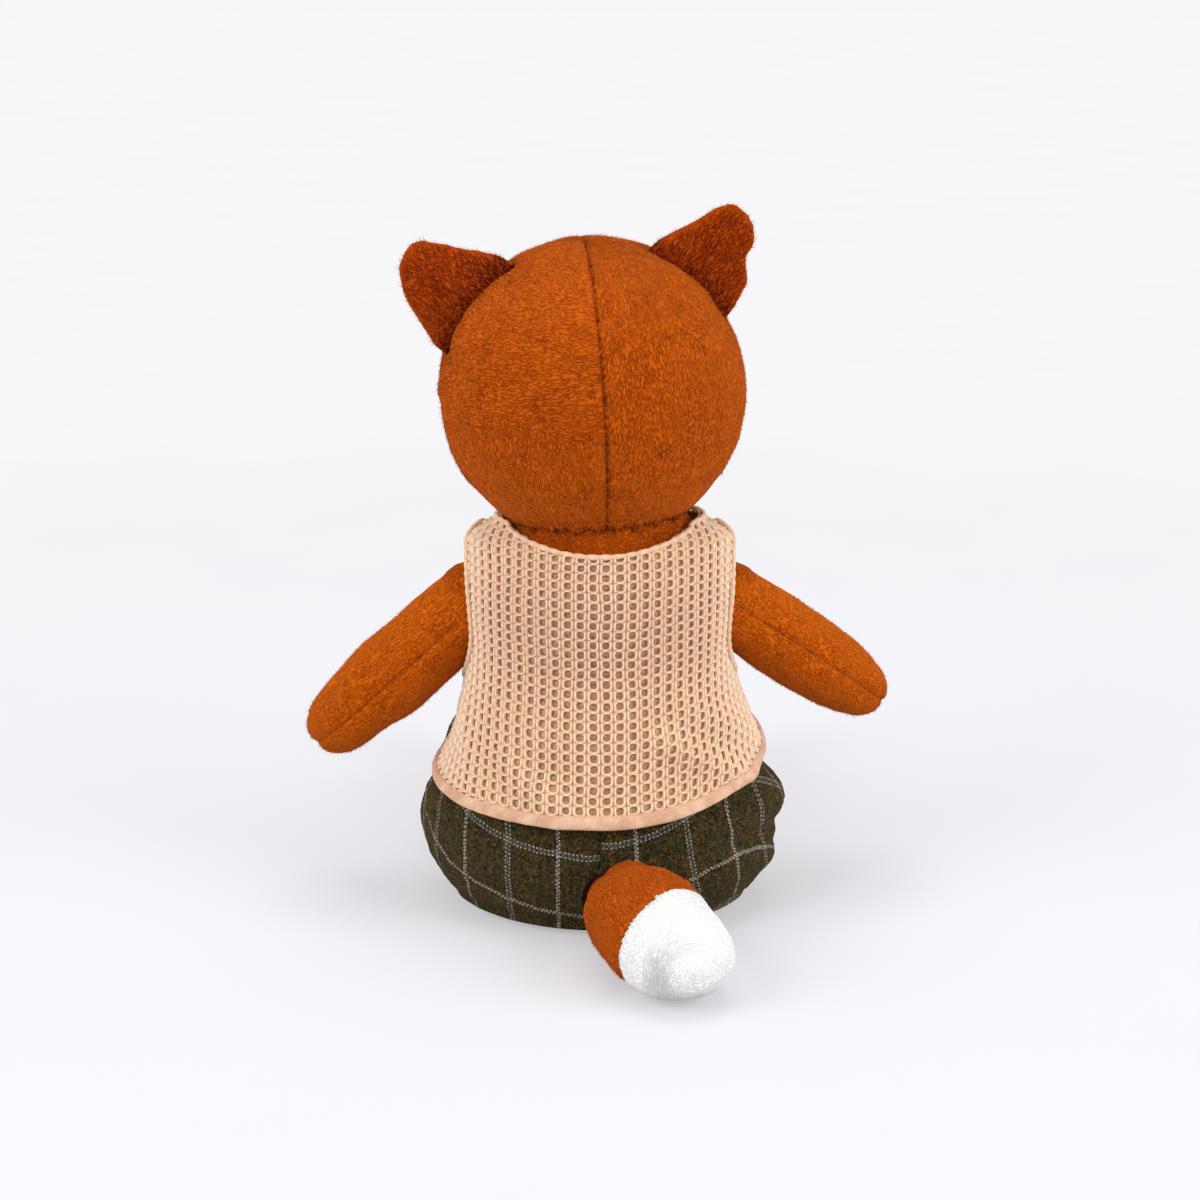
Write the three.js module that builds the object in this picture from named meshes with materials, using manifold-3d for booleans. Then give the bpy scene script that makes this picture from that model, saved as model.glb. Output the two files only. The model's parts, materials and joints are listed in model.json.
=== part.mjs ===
// A seated plush fox in a knitted vest and tweed shorts, in millimetres.
// +Z is up, the fox faces -Y, and the origin is the middle of its flat seat on the floor.
// Every stuffed part is a sewn skin in panels with a wad of fibre inside. The limbs, tail and neck
// taper to a gathered root, so that they swing about it and stay clear of the body and clothes.
import * as THREE from "three";
import { mergeVertices } from "three/addons/utils/BufferGeometryUtils.js";
import Module from "manifold-3d";

const wasm = await Module();
wasm.setup();

// Fabric thicknesses and clearances
const plushThickness = 1.9;
const tweedThickness = 1.6;
const liningThickness = 0.8;
const knitThickness = 1.5;
const elasticThickness = 1.2;
const seamGap = 0.3;
const layerGap = 0.4;
const swingGap = 0.5;
const socketGap = 0.7;
const cutOverrun = 40;
const flatDepth = 0.5;
const weldTolerance = 1e-4;
const origin = new THREE.Vector3(0, 0, 0);
const leftAndRight = [
  ["left", 1],
  ["right", -1],
];
const thinnestHalf = 1;

// How finely small round forms are drawn
const ballSides = 12;
const ballRings = 8;
const discSides = 12;
const threadSides = 6;
const threadSegments = 16;

// Torso: a pear that swells at the hips, flat at the shoulders, with a ball for the neck on top
const torsoHeight = 95;
const shoulderTop = 94;
const hipHalfWidth = 43.5;
const hipHalfDepth = 36;
const neckBallRadius = 22;
const neckOpeningRadius = 16.5;
const neckRimHeight = 8;
const neckStalkRadius = 9;
const torsoSides = 20;
const neckRings = 10;
// height, half-width and half-depth, as shares of the torso's height, hip half-width and half-depth;
// the last two rows shape the vest's shoulders alone
const torsoProfileShares = [
  [-0.01, 0.62, 0.68],
  [0.04, 0.8, 0.85],
  [0.11, 0.93, 0.955],
  [0.21, 1.0, 1.0],
  [0.3, 0.955, 0.965],
  [0.38, 0.85, 0.875],
  [0.475, 0.765, 0.79],
  [0.68, 0.705, 0.715],
  [0.95, 0.68, 0.665],
  [1.0, 0.625, 0.61],
  [1.035, 0.5, 0.5],
];
const pouchTop = 18;
const seatLift = tweedThickness + layerGap;

// Head: a round skull with a tapered snout and full cheeks, above the neck ball
const skullRadius = 38;
const skullDepthShare = 1;
const neckToSkull = 34.5;
const headRoll = THREE.MathUtils.degToRad(3);
const headYaw = THREE.MathUtils.degToRad(5);
const skullForward = 3;
const headTurn = THREE.MathUtils.degToRad(35);
const nodDown = THREE.MathUtils.degToRad(5);
const nodUp = THREE.MathUtils.degToRad(8);
const tiltLeft = THREE.MathUtils.degToRad(3);
const tiltRight = THREE.MathUtils.degToRad(7);
const skullSides = 20;
const skullRings = 10;
const snoutReach = 56;
const snoutDrop = 9;
const snoutSides = 12;
// reach, half-width and half-height, as shares of the snout's reach and the skull's radius
const snoutShares = [
  [0.2, 0.6, 0.53],
  [0.5, 0.54, 0.47],
  [0.7, 0.43, 0.38],
  [0.86, 0.31, 0.28],
  [0.95, 0.23, 0.21],
  [1.0, 0.12, 0.11],
];
const cheekRadiusShare = 0.54;
const cheekOut = 14.5;
const cheekForward = 17;
const cheekDrop = 11;
const cheekDepthShare = 0.9;
const cheekHeightShare = 0.74;
const earSeamForward = -3;
const faceLineDrop = 11;
const faceLineRiseShare = 0.3;
const noseHalfWidth = 5.2;
const noseHalfHeight = 4;
const noseHalfDepth = 3.4;
const noseSeat = 1.2;
const noseRise = 1.5;
const eyeRadius = 3.3;
const eyeDomeHeight = 2.4;
// out from the eye's axis and up its dome, as shares of its radius and height
const eyeDomeShares = [
  [1.0, 0],
  [0.86, 0.55],
  [0.5, 0.9],
  [0, 1.0],
];
const eyeShankRadius = 1.1;
const eyeShankLength = 7;
const eyeShankClearance = 0.3;
const eyeOut = 15;
const eyeRise = 5;
const washerSeat = 3.1;
const washerRadius = 5;
const washerThickness = 1.2;

// Ears: flat triangles with rounded tips, a plush back and a pale front
const earHalfBase = 13.4;
const earLength = 23;
const earHalfThickness = 2.8;
const leftEarAngle = THREE.MathUtils.degToRad(49.5);
const rightEarAngle = THREE.MathUtils.degToRad(43.5);
const leftEarLean = THREE.MathUtils.degToRad(27);
const rightEarLean = THREE.MathUtils.degToRad(1);
const earSides = 16;
// rise, half-width and half-thickness, as shares of the ear's length, half-base and half-thickness
const earShares = [
  [-0.1, 1.0, 0.3],
  [0.08, 1.0, 0.42],
  [0.28, 0.86, 0.85],
  [0.5, 0.68, 1.0],
  [0.72, 0.45, 0.9],
  [0.9, 0.25, 0.65],
  [0.985, 0.1, 0.4],
];

// Arms, each on a ball-shaped root in the shoulder seam
const armLength = 55;
const armRadius = 11.2;
const armFlatShare = 0.94;
const shoulderHeight = 76;
const shoulderOut = 1.2;
const shoulderForward = 3;
const armRootRadius = 10.2;
const leftArmDrop = THREE.MathUtils.degToRad(42.5);
const leftArmForward = THREE.MathUtils.degToRad(3);
const rightArmDrop = THREE.MathUtils.degToRad(35);
const rightArmForward = THREE.MathUtils.degToRad(27);
const limbSides = 10;
// along the limb and out from its axis, as shares of the limb's length and radius
const armShares = [
  [0.135, 0.79],
  [0.2, 0.9],
  [0.3, 0.97],
  [0.42, 1.0],
  [0.56, 0.98],
  [0.7, 0.92],
  [0.83, 0.83],
  [0.93, 0.7],
  [0.985, 0.45],
];

// Legs, laid forward from the hips, with feet that turn up
const legLength = 80;
const legRadius = 14.2;
const hipHeight = 16;
const hipAngle = THREE.MathUtils.degToRad(31);
const hipOut = 1.2;
const legSplay = THREE.MathUtils.degToRad(7);
const legDroop = THREE.MathUtils.degToRad(2);
const legRootRadius = 10.2;
const legShares = [
  [0.095, 0.64],
  [0.15, 0.78],
  [0.22, 0.9],
  [0.31, 0.98],
  [0.42, 1.0],
  [0.6, 0.91],
  [0.78, 0.86],
  [0.92, 0.78],
  [0.985, 0.5],
];
const footReach = 70;
const footRise = 6.5;
const footHalfWidth = 12.6;
const footHalfLength = 19;
const footHalfDepth = 11;
const footSides = 10;
const footRings = 6;

// Tail, laid on the floor from the back of the shorts
const tailLength = 48;
const tailRadius = 14.2;
const tailFlatShare = 0.8;
const tailHeight = 12.5;
const tailBearing = THREE.MathUtils.degToRad(9);
const tailSide = THREE.MathUtils.degToRad(17);
const tailDroop = THREE.MathUtils.degToRad(3);
const tailOut = 2.5;
const tailRootRadius = 9.4;
const tailTipStart = 24;
const tailTipSlant = THREE.MathUtils.degToRad(12);
const tailTipTurn = THREE.MathUtils.degToRad(28);
const tailShares = [
  [0.16, 0.74],
  [0.24, 0.88],
  [0.34, 0.96],
  [0.5, 1.0],
  [0.66, 0.96],
  [0.8, 0.84],
  [0.91, 0.64],
  [0.98, 0.36],
];

// Clothes
const shortsTop = 46;
const waistbandHeight = 4;
const gussetHalfWidth = 13;
const gussetHalfDepth = 19;
const tailHoleRadius = 14;
const legHoleRadius = 15;
const shortsLegStart = 13;
const shortsLegEnd = 43;
const shortsHemFlare = 2.2;
const hemHeight = 34;
const hemTilt = THREE.MathUtils.degToRad(9);
const vestFlare = 2.7;
const flareTop = 65;
const vestTop = 100;
const necklineHalfWidth = 27;
const necklineHalfDepth = 34;
const necklineHalfHeight = 20.7;
const necklineHeight = 108.8;
const bindingHeight = 3.4;
const bindingThickness = 1.7;
const armholeHalfHeight = 20;
const armholeHalfWidth = 13.5;
const armholeForward = 2.5;
const armholeDepth = 14;
const frontOpening = 1.2;
const buttonRadius = 3;
const buttonThickness = 1.6;
const buttonHoleRadius = 0.55;
const buttonHoleSpacing = 1.1;
const buttonHeights = [48, 60, 72];
const neckThreadRadius = 0.6;
const neckThreadGap = 0.5;

// Colours
const foxOrange = new THREE.MeshStandardMaterial({ color: "#ad5012", roughness: 0.95, metalness: 0 });
const cream = new THREE.MeshStandardMaterial({ color: "#f1ece6", roughness: 0.95, metalness: 0 });
const knitBeige = new THREE.MeshStandardMaterial({ color: "#dcb48f", roughness: 0.9, metalness: 0 });
const liningBeige = new THREE.MeshStandardMaterial({ color: "#c9a07c", roughness: 0.85, metalness: 0 });
const bindingPeach = new THREE.MeshStandardMaterial({ color: "#e6bd9b", roughness: 0.8, metalness: 0 });
const tweedGreen = new THREE.MeshStandardMaterial({ color: "#3b3f2c", roughness: 0.95, metalness: 0 });
const blackGloss = new THREE.MeshStandardMaterial({ color: "#0b0a0a", roughness: 0.15, metalness: 0 });
const noseBlack = new THREE.MeshStandardMaterial({ color: "#1b1614", roughness: 0.8, metalness: 0 });
const fibreWhite = new THREE.MeshStandardMaterial({ color: "#f4f3ef", roughness: 1, metalness: 0 });
const elasticWhite = new THREE.MeshStandardMaterial({ color: "#e9e6e0", roughness: 0.8, metalness: 0 });
const washerWhite = new THREE.MeshStandardMaterial({ color: "#d9d9d6", roughness: 0.4, metalness: 0 });
const pouchCotton = new THREE.MeshStandardMaterial({ color: "#d8d0c2", roughness: 0.9, metalness: 0 });
const buttonWood = new THREE.MeshStandardMaterial({ color: "#8a5a34", roughness: 0.5, metalness: 0 });
const threadBrown = new THREE.MeshStandardMaterial({ color: "#7c3a10", roughness: 0.9, metalness: 0 });

// Turns a geometry into a solid that can be joined and cut.
function toSolid(geometry, matrix = null) {
  const bare = geometry.clone();
  bare.deleteAttribute("normal");
  bare.deleteAttribute("uv");
  if (matrix) bare.applyMatrix4(matrix);
  const merged = mergeVertices(bare, weldTolerance);
  return new wasm.Manifold(
    new wasm.Mesh({
      numProp: 3,
      vertProperties: merged.attributes.position.array,
      triVerts: new Uint32Array(merged.index.array),
    }),
  );
}

// Makes a named mesh of a solid.
function toMesh(name, solid, material) {
  const made = solid.getMesh();
  const geometry = new THREE.BufferGeometry();
  geometry.setAttribute("position", new THREE.BufferAttribute(made.vertProperties, 3));
  geometry.setIndex(new THREE.BufferAttribute(made.triVerts, 1));
  geometry.computeVertexNormals();
  const mesh = new THREE.Mesh(geometry, material);
  mesh.name = name;
  return mesh;
}

// A closed form through oval rings, each { centre, across, up }, with a fan over each end.
// Across times up points from the first ring to the last.
function loft(rings, sides) {
  const positions = [];
  const index = [];
  for (const { centre, across, up } of rings) {
    for (let side = 0; side < sides; side += 1) {
      const turn = (2 * Math.PI * side) / sides;
      const point = centre.clone();
      point.addScaledVector(across, Math.cos(turn)).addScaledVector(up, Math.sin(turn));
      positions.push(point.x, point.y, point.z);
    }
  }
  for (let ring = 0; ring < rings.length - 1; ring += 1) {
    for (let side = 0; side < sides; side += 1) {
      const next = (side + 1) % sides;
      const low = ring * sides;
      const high = low + sides;
      index.push(low + side, low + next, high + next);
      index.push(low + side, high + next, high + side);
    }
  }
  const firstCentre = rings.length * sides;
  const lastCentre = firstCentre + 1;
  const lastRing = (rings.length - 1) * sides;
  positions.push(...rings[0].centre.toArray(), ...rings[rings.length - 1].centre.toArray());
  for (let side = 0; side < sides; side += 1) {
    const next = (side + 1) % sides;
    index.push(firstCentre, next, side);
    index.push(lastCentre, lastRing + side, lastRing + next);
  }
  const geometry = new THREE.BufferGeometry();
  geometry.setAttribute("position", new THREE.BufferAttribute(new Float32Array(positions), 3));
  geometry.setIndex(index);
  return toSolid(geometry);
}

// A ball of radius 1 whose poles lie on Z.
function unitBall(sides, rings) {
  const geometry = new THREE.SphereGeometry(1, sides, rings);
  geometry.rotateX(Math.PI / 2);
  return geometry;
}

// A ball or oval at a place, with its half-lengths along X, Y and Z.
function oval(centre, halfX, halfY, halfZ, sides = ballSides, rings = ballRings) {
  const matrix = new THREE.Matrix4().makeScale(halfX, halfY, halfZ);
  matrix.premultiply(new THREE.Matrix4().makeTranslation(centre));
  return toSolid(unitBall(sides, rings), matrix);
}

function ball(centre, radius, sides = ballSides, rings = ballRings) {
  return oval(centre, radius, radius, radius, sides, rings);
}

// A box between two corners, as a cutter.
function block(low, high, matrix = null) {
  const size = high.clone().sub(low);
  const middle = low.clone().add(high).multiplyScalar(1 / 2);
  const geometry = new THREE.BoxGeometry(size.x, size.y, size.z);
  geometry.translate(middle.x, middle.y, middle.z);
  return toSolid(geometry, matrix);
}

// The value of a table of [at, value...] rows at a place between two of them.
function readTable(table, at, column) {
  const last = table[table.length - 1];
  if (at <= table[0][0]) return table[0][column];
  if (at >= last[0]) return last[column];
  const row = table.findIndex(([start], i) => at >= start && at < table[i + 1][0]);
  const [before, after] = [table[row], table[row + 1]];
  return THREE.MathUtils.mapLinear(at, before[0], after[0], before[column], after[column]);
}

// Torso
const torsoHalfWidth = (height) => hipHalfWidth * readTable(torsoProfileShares, height / torsoHeight, 1);
const torsoHalfDepth = (height) => hipHalfDepth * readTable(torsoProfileShares, height / torsoHeight, 2);
const reach = hipHalfWidth + cutOverrun;
const neckPivot = new THREE.Vector3(0, 0, torsoHeight);
const skullCentre = new THREE.Vector3(0, -skullForward, neckToSkull);

const hang = (height, flare) => flare * (1 - THREE.MathUtils.smoothstep(height, shortsTop, flareTop));
const vestHalfDepth = (height, offset) => torsoHalfDepth(height) + offset + hang(height, vestFlare);

// The pear at an offset from the torso's skin, between two heights. Flare adds to it near the hem.
function pear(offset, low, high, flare = 0, sides = torsoSides) {
  const heights = torsoProfileShares
    .map(([share]) => share * torsoHeight)
    .filter((height) => height > low + weldTolerance && height < high - weldTolerance);
  const rings = [low, ...heights, high].map((height) => {
    const out = offset + hang(height, flare);
    return {
      centre: new THREE.Vector3(0, 0, height),
      across: new THREE.Vector3(torsoHalfWidth(height) + out, 0, 0),
      up: new THREE.Vector3(0, torsoHalfDepth(height) + out, 0),
    };
  });
  return loft(rings, sides);
}

// Everything between two heights, in a frame of its own where a matrix is given.
function slab(low, high, matrix = null) {
  const wide = reach * 2;
  return block(new THREE.Vector3(-wide, -wide, low), new THREE.Vector3(wide, wide, high), matrix);
}

const floorBlock = slab(-cutOverrun, 0);

// The half of space on one side of a plane across X or Y, from a start.
function halfSpace(axis, direction, start) {
  const low = new THREE.Vector3(-reach * 2, -reach * 2, -reach);
  const high = new THREE.Vector3(reach * 2, reach * 2, reach * 2 + torsoHeight);
  if (direction > 0) low[axis] = start;
  else high[axis] = start;
  return block(low, high);
}

// Joints: the shoulders, hips and tail turn about points on the torso's skin.
const shoulderPivot = (side) =>
  new THREE.Vector3(side * (torsoHalfWidth(shoulderHeight) + shoulderOut), -shoulderForward, shoulderHeight);
const hipPivot = (side) =>
  new THREE.Vector3(
    side * (torsoHalfWidth(hipHeight) + hipOut) * Math.sin(hipAngle),
    -(torsoHalfDepth(hipHeight) + hipOut) * Math.cos(hipAngle),
    hipHeight,
  );
const tailPivot = new THREE.Vector3(
  -(torsoHalfWidth(tailHeight) + tailOut) * Math.sin(tailBearing),
  (torsoHalfDepth(tailHeight) + tailOut) * Math.cos(tailBearing),
  tailHeight,
);

const socketAt = (pivot, radius) => ball(pivot, radius + socketGap);
const rootSockets = [
  socketAt(shoulderPivot(1), armRootRadius),
  socketAt(shoulderPivot(-1), armRootRadius),
  socketAt(hipPivot(1), legRootRadius),
  socketAt(hipPivot(-1), legRootRadius),
  socketAt(tailPivot, tailRootRadius),
];

// The skull grown by a gap all round, in the head's frame, placed by a matrix.
function clearSkull(place) {
  const radius = skullRadius + swingGap;
  const grown = new THREE.Matrix4().makeScale(radius, radius * skullDepthShare, radius);
  grown.premultiply(new THREE.Matrix4().makeTranslation(skullCentre));
  return toSolid(unitBall(skullSides, skullRings), grown.premultiply(place));
}

// The head's own turn and roll at rest, before any joint moves it.
function headRest() {
  const rest = new THREE.Matrix4().makeRotationZ(headYaw);
  return rest.multiply(new THREE.Matrix4().makeRotationY(headRoll));
}

// The space that the skull passes through as it turns, nods and tilts about the neck.
function headSweep() {
  const poses = [
    [headTurn, nodDown, tiltLeft],
    [-headTurn, nodDown, tiltLeft],
    [headTurn, -nodUp, tiltLeft],
    [headTurn, nodDown, -tiltRight],
    [-headTurn, nodDown, -tiltRight],
    [-headTurn, -nodUp, tiltLeft],
    [0, nodDown, tiltLeft],
    [0, -nodUp, -tiltRight],
  ];
  const swept = poses.map(([turn, nod, tilt]) => {
    const place = new THREE.Matrix4().makeTranslation(neckPivot);
    place.multiply(new THREE.Matrix4().makeRotationZ(turn));
    place.multiply(new THREE.Matrix4().makeRotationX(nod));
    place.multiply(new THREE.Matrix4().makeRotationY(tilt));
    return clearSkull(place.multiply(headRest()));
  });
  return swept.reduce((whole, one) => whole.add(one));
}

const cutAll = (solid, cutters) => cutters.reduce((left, cutter) => left.subtract(cutter), solid);

// The torso with its neck ball, drawn in all over by an inset.
function torsoForm(inset, sides = torsoSides) {
  const neck = ball(neckPivot, neckBallRadius - inset, sides, neckRings);
  const rim = slab(torsoHeight + neckRimHeight, torsoHeight + cutOverrun);
  const under = slab(-cutOverrun, seatLift + inset);
  return pear(-inset, 0, shoulderTop - inset, 0, sides).add(neck).subtract(rim).subtract(under);
}

function makeTorso() {
  const cutters = [...rootSockets, ball(neckPivot, neckOpeningRadius, torsoSides, neckRings)];
  const skin = cutAll(torsoForm(0).subtract(torsoForm(plushThickness)), cutters);
  const filling = cutAll(torsoForm(plushThickness + seamGap, torsoSides / 2), cutters);
  const abovePouch = slab(pouchTop + seamGap, torsoHeight + cutOverrun);
  return [
    toMesh("torso_skin_back", skin.intersect(halfSpace("y", 1, seamGap / 2)), foxOrange),
    toMesh("torso_skin_front", skin.intersect(halfSpace("y", -1, -seamGap / 2)), foxOrange),
    toMesh("torso_stuffing", filling.intersect(abovePouch), fibreWhite),
    toMesh("pellet_pouch", filling.intersect(slab(-cutOverrun, pouchTop)), pouchCotton),
  ];
}

// Shorts
const shortsInner = layerGap;
const shortsOuter = shortsInner + tweedThickness;

// The oval patch under the seat, grown all round by a gap.
function gussetForm(gap) {
  const prism = new THREE.CylinderGeometry(1, 1, 1, torsoSides);
  prism.rotateX(Math.PI / 2);
  const size = [gussetHalfWidth + gap, gussetHalfDepth + gap, seatLift * 2];
  return toSolid(prism, new THREE.Matrix4().makeScale(...size));
}

function makeShortsSeat() {
  const tube = pear(shortsOuter, -flatDepth, shortsTop).subtract(floorBlock);
  const hollow = pear(shortsInner, tweedThickness, shortsTop + cutOverrun);
  const legHoles = [1, -1].map((side) => ball(hipPivot(side), legHoleRadius));
  const shell = cutAll(tube.subtract(hollow), [...legHoles, ball(tailPivot, tailHoleRadius)]);
  const seat = shell.subtract(gussetForm(seamGap));
  const bandLow = shortsTop + seamGap;
  const band = pear(shortsInner + elasticThickness, bandLow, bandLow + waistbandHeight).subtract(hollow);
  return [
    toMesh("shorts_seat_left", seat.intersect(halfSpace("x", 1, seamGap / 2)), tweedGreen),
    toMesh("shorts_seat_right", seat.intersect(halfSpace("x", -1, -seamGap / 2)), tweedGreen),
    toMesh("shorts_gusset", shell.intersect(gussetForm(0)), tweedGreen),
    toMesh("shorts_waistband", band, elasticWhite),
  ];
}

// The space between two hem planes that rise from the back of the vest to its front.
function hemSlab(low, high) {
  const tilt = new THREE.Matrix4().makeRotationX(-hemTilt);
  tilt.premultiply(new THREE.Matrix4().makeTranslation(0, 0, hemHeight));
  return slab(low, high, tilt);
}

// Vest: a lining inside a knitted shell, open down the front, with a bound hem
const liningOuter = layerGap + liningThickness;
const knitInner = liningOuter + seamGap;
const knitOuter = knitInner + knitThickness;

function vestCutters() {
  const armholes = [1, -1].map((side) => {
    const centre = shoulderPivot(side).setY(-shoulderForward - armholeForward);
    return oval(centre, armholeDepth, armholeHalfWidth, armholeHalfHeight);
  });
  const scoop = [necklineHalfWidth, necklineHalfDepth, necklineHalfHeight];
  const neckline = oval(new THREE.Vector3(0, 0, necklineHeight), ...scoop, torsoSides, neckRings);
  const neck = ball(neckPivot, neckBallRadius + layerGap, torsoSides, neckRings);
  return [...armholes, neckline, neck, headSweep()];
}

// One layer of the vest from the bottom of its hem up, between two offsets from the torso's skin.
function vestLayer(inner, outer, top, cutters) {
  const low = hemHeight / 2;
  const inside = pear(inner, low - cutOverrun, vestTop + cutOverrun, vestFlare);
  return cutAll(pear(outer, low, top, vestFlare).subtract(inside), cutters);
}

function makeVest() {
  const cutters = vestCutters();
  const opening = block(
    new THREE.Vector3(-frontOpening / 2, -reach, -cutOverrun),
    new THREE.Vector3(frontOpening / 2, 0, torsoHeight + cutOverrun),
  );
  const aboveHem = hemSlab(bindingHeight + seamGap, torsoHeight);
  const knit = vestLayer(knitInner, knitOuter, vestTop, cutters).intersect(aboveHem);
  const lining = vestLayer(layerGap, liningOuter, vestTop, cutters).intersect(aboveHem);
  const bindingMiddle = (knitOuter + layerGap) / 2;
  const bindingInner = bindingMiddle - bindingThickness / 2;
  const binding = vestLayer(bindingInner, bindingInner + bindingThickness, flareTop, cutters);
  const front = knit.subtract(opening).intersect(halfSpace("y", -1, -seamGap / 2));
  return [
    toMesh("vest_knit_back", knit.intersect(halfSpace("y", 1, seamGap / 2)), knitBeige),
    toMesh("vest_knit_front_left", front.intersect(halfSpace("x", 1, 0)), knitBeige),
    toMesh("vest_knit_front_right", front.intersect(halfSpace("x", -1, 0)), knitBeige),
    toMesh("vest_lining", lining.subtract(opening), liningBeige),
    toMesh("vest_hem_binding", binding.intersect(hemSlab(0, bindingHeight)).subtract(opening), bindingPeach),
  ];
}

function makeButtons() {
  const blank = new THREE.CylinderGeometry(buttonRadius, buttonRadius, buttonThickness, discSides);
  const through = buttonThickness * 2;
  const hole = new THREE.CylinderGeometry(buttonHoleRadius, buttonHoleRadius, through, discSides / 2);
  const holes = [1, -1].map((side) =>
    toSolid(hole, new THREE.Matrix4().makeTranslation(side * buttonHoleSpacing, 0, 0)),
  );
  const button = cutAll(toSolid(blank), holes);
  return buttonHeights.map((height, i) => {
    const edges = [height - buttonRadius, height + buttonRadius];
    const seat = Math.max(...edges.map((edge) => vestHalfDepth(edge, knitOuter)));
    const made = toMesh(`vest_button_${i + 1}`, button, buttonWood);
    made.position.set(0, -(seat + layerGap + buttonThickness / 2), height);
    return made;
  });
}

// The rings of a limb along +Z from its root, drawn in by an inset.
function limbForm(shares, length, radius, flattening, inset, extra = 0, step = 1) {
  const last = shares.length - 1;
  const kept = shares.filter((row, i) => i % step === 0 || i === last);
  const rings = kept.map(([along, out]) => {
    const half = Math.max(out * radius + extra - inset, thinnestHalf);
    return {
      centre: new THREE.Vector3(0, 0, along * (length - inset)),
      across: new THREE.Vector3(half, 0, 0),
      up: new THREE.Vector3(0, half * flattening, 0),
    };
  });
  const tip = rings[rings.length - 1];
  tip.centre.z = Math.min(tip.centre.z, length - inset - tip.across.x / 2);
  return loft(rings, limbSides);
}

// A group at a pivot whose +Z runs along a limb, with its +Y kept as near the fox's up as it can be.
function limbGroup(pivot, direction) {
  const group = new THREE.Group();
  const along = direction.clone().normalize();
  const across = new THREE.Vector3(0, 0, 1).cross(along).normalize();
  const up = along.clone().cross(across);
  group.position.copy(pivot);
  group.quaternion.setFromRotationMatrix(new THREE.Matrix4().makeBasis(across, up, along));
  group.updateMatrixWorld(true);
  return group;
}

// The floor, seen from inside a group, as a cutter.
function floorIn(group) {
  return slab(-cutOverrun, 0, group.matrixWorld.clone().invert());
}

// A sewn skin in an upper and a lower panel round its stuffing, both cut back from the root ball.
function stuffedLimb(form, rootRadius, cutters = []) {
  const root = ball(origin, rootRadius + socketGap);
  const outer = cutAll(form(0), [root, ...cutters]);
  const opened = form(plushThickness).add(ball(origin, rootRadius + plushThickness));
  const skin = cutAll(outer.subtract(opened), cutters);
  const filling = cutAll(form(plushThickness + seamGap, 2), [root, ...cutters]);
  return { skin, filling };
}

function panels(name, skin) {
  return [
    toMesh(`${name}_panel_upper`, skin.intersect(halfSpace("y", 1, seamGap / 2)), foxOrange),
    toMesh(`${name}_panel_lower`, skin.intersect(halfSpace("y", -1, -seamGap / 2)), foxOrange),
  ];
}

function makeArm(name, side, drop, forward) {
  const direction = new THREE.Vector3(
    side * Math.cos(drop) * Math.cos(forward),
    -Math.cos(drop) * Math.sin(forward),
    -Math.sin(drop),
  );
  const group = limbGroup(shoulderPivot(side), direction);
  const form = (inset, step) => limbForm(armShares, armLength, armRadius, armFlatShare, inset, 0, step);
  const { skin, filling } = stuffedLimb(form, armRootRadius);
  group.add(...panels(name, skin));
  group.add(toMesh(`${name}_stuffing`, filling, fibreWhite));
  group.add(toMesh(`${name}_root`, ball(origin, armRootRadius), foxOrange));
  return group;
}

function makeLeg(name, side) {
  const direction = new THREE.Vector3(side * Math.sin(legSplay), -Math.cos(legSplay), -Math.sin(legDroop));
  const group = limbGroup(hipPivot(side), direction);
  const floor = floorIn(group);
  const foot = (inset) =>
    oval(
      new THREE.Vector3(0, footRise, footReach),
      footHalfWidth - inset,
      footHalfLength - inset,
      footHalfDepth - inset,
      footSides,
      footRings,
    );
  const form = (inset, step) => limbForm(legShares, legLength, legRadius, 1, inset, 0, step).add(foot(inset));
  const { skin, filling } = stuffedLimb(form, legRootRadius, [floor]);
  group.add(...panels(name, skin));
  group.add(toMesh(`${name}_stuffing`, filling, fibreWhite));
  group.add(toMesh(`${name}_root`, ball(origin, legRootRadius), foxOrange));
  return group;
}

function makeShortsLeg(name, side, legGroup) {
  const flareShares = legShares.map(([along, out]) => {
    const opened = THREE.MathUtils.smoothstep(along * legLength, shortsLegStart, shortsLegEnd);
    return [along, out + (shortsHemFlare * opened) / legRadius];
  });
  const outer = limbForm(flareShares, legLength, legRadius, 1, 0, layerGap + tweedThickness);
  const inner = limbForm(flareShares, legLength, legRadius, 1, 0, layerGap);
  const span = slab(shortsLegStart, shortsLegEnd);
  const sleeve = outer.subtract(inner).intersect(span).subtract(floorIn(legGroup));
  return toMesh(name, sleeve, tweedGreen);
}

function makeTail() {
  const direction = new THREE.Vector3(
    -Math.cos(tailDroop) * Math.sin(tailSide),
    Math.cos(tailDroop) * Math.cos(tailSide),
    -Math.sin(tailDroop),
  );
  const group = limbGroup(tailPivot, direction);
  const floor = floorIn(group);
  const form = (inset, step) => limbForm(tailShares, tailLength, tailRadius, tailFlatShare, inset, 0, step);
  const { skin, filling } = stuffedLimb(form, tailRootRadius, [floor]);
  const slant = new THREE.Matrix4().makeRotationX(tailTipSlant);
  slant.premultiply(new THREE.Matrix4().makeRotationY(tailTipTurn));
  slant.premultiply(new THREE.Matrix4().makeTranslation(0, 0, tailTipStart));
  group.add(toMesh("tail_base", skin.intersect(slab(-cutOverrun, -seamGap / 2, slant)), foxOrange));
  group.add(toMesh("tail_tip", skin.intersect(slab(seamGap / 2, tailLength, slant)), cream));
  group.add(toMesh("tail_stuffing", filling, fibreWhite));
  group.add(toMesh("tail_root", ball(origin, tailRootRadius), foxOrange));
  return group;
}

// Head, in a frame whose origin is the neck pivot

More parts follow.
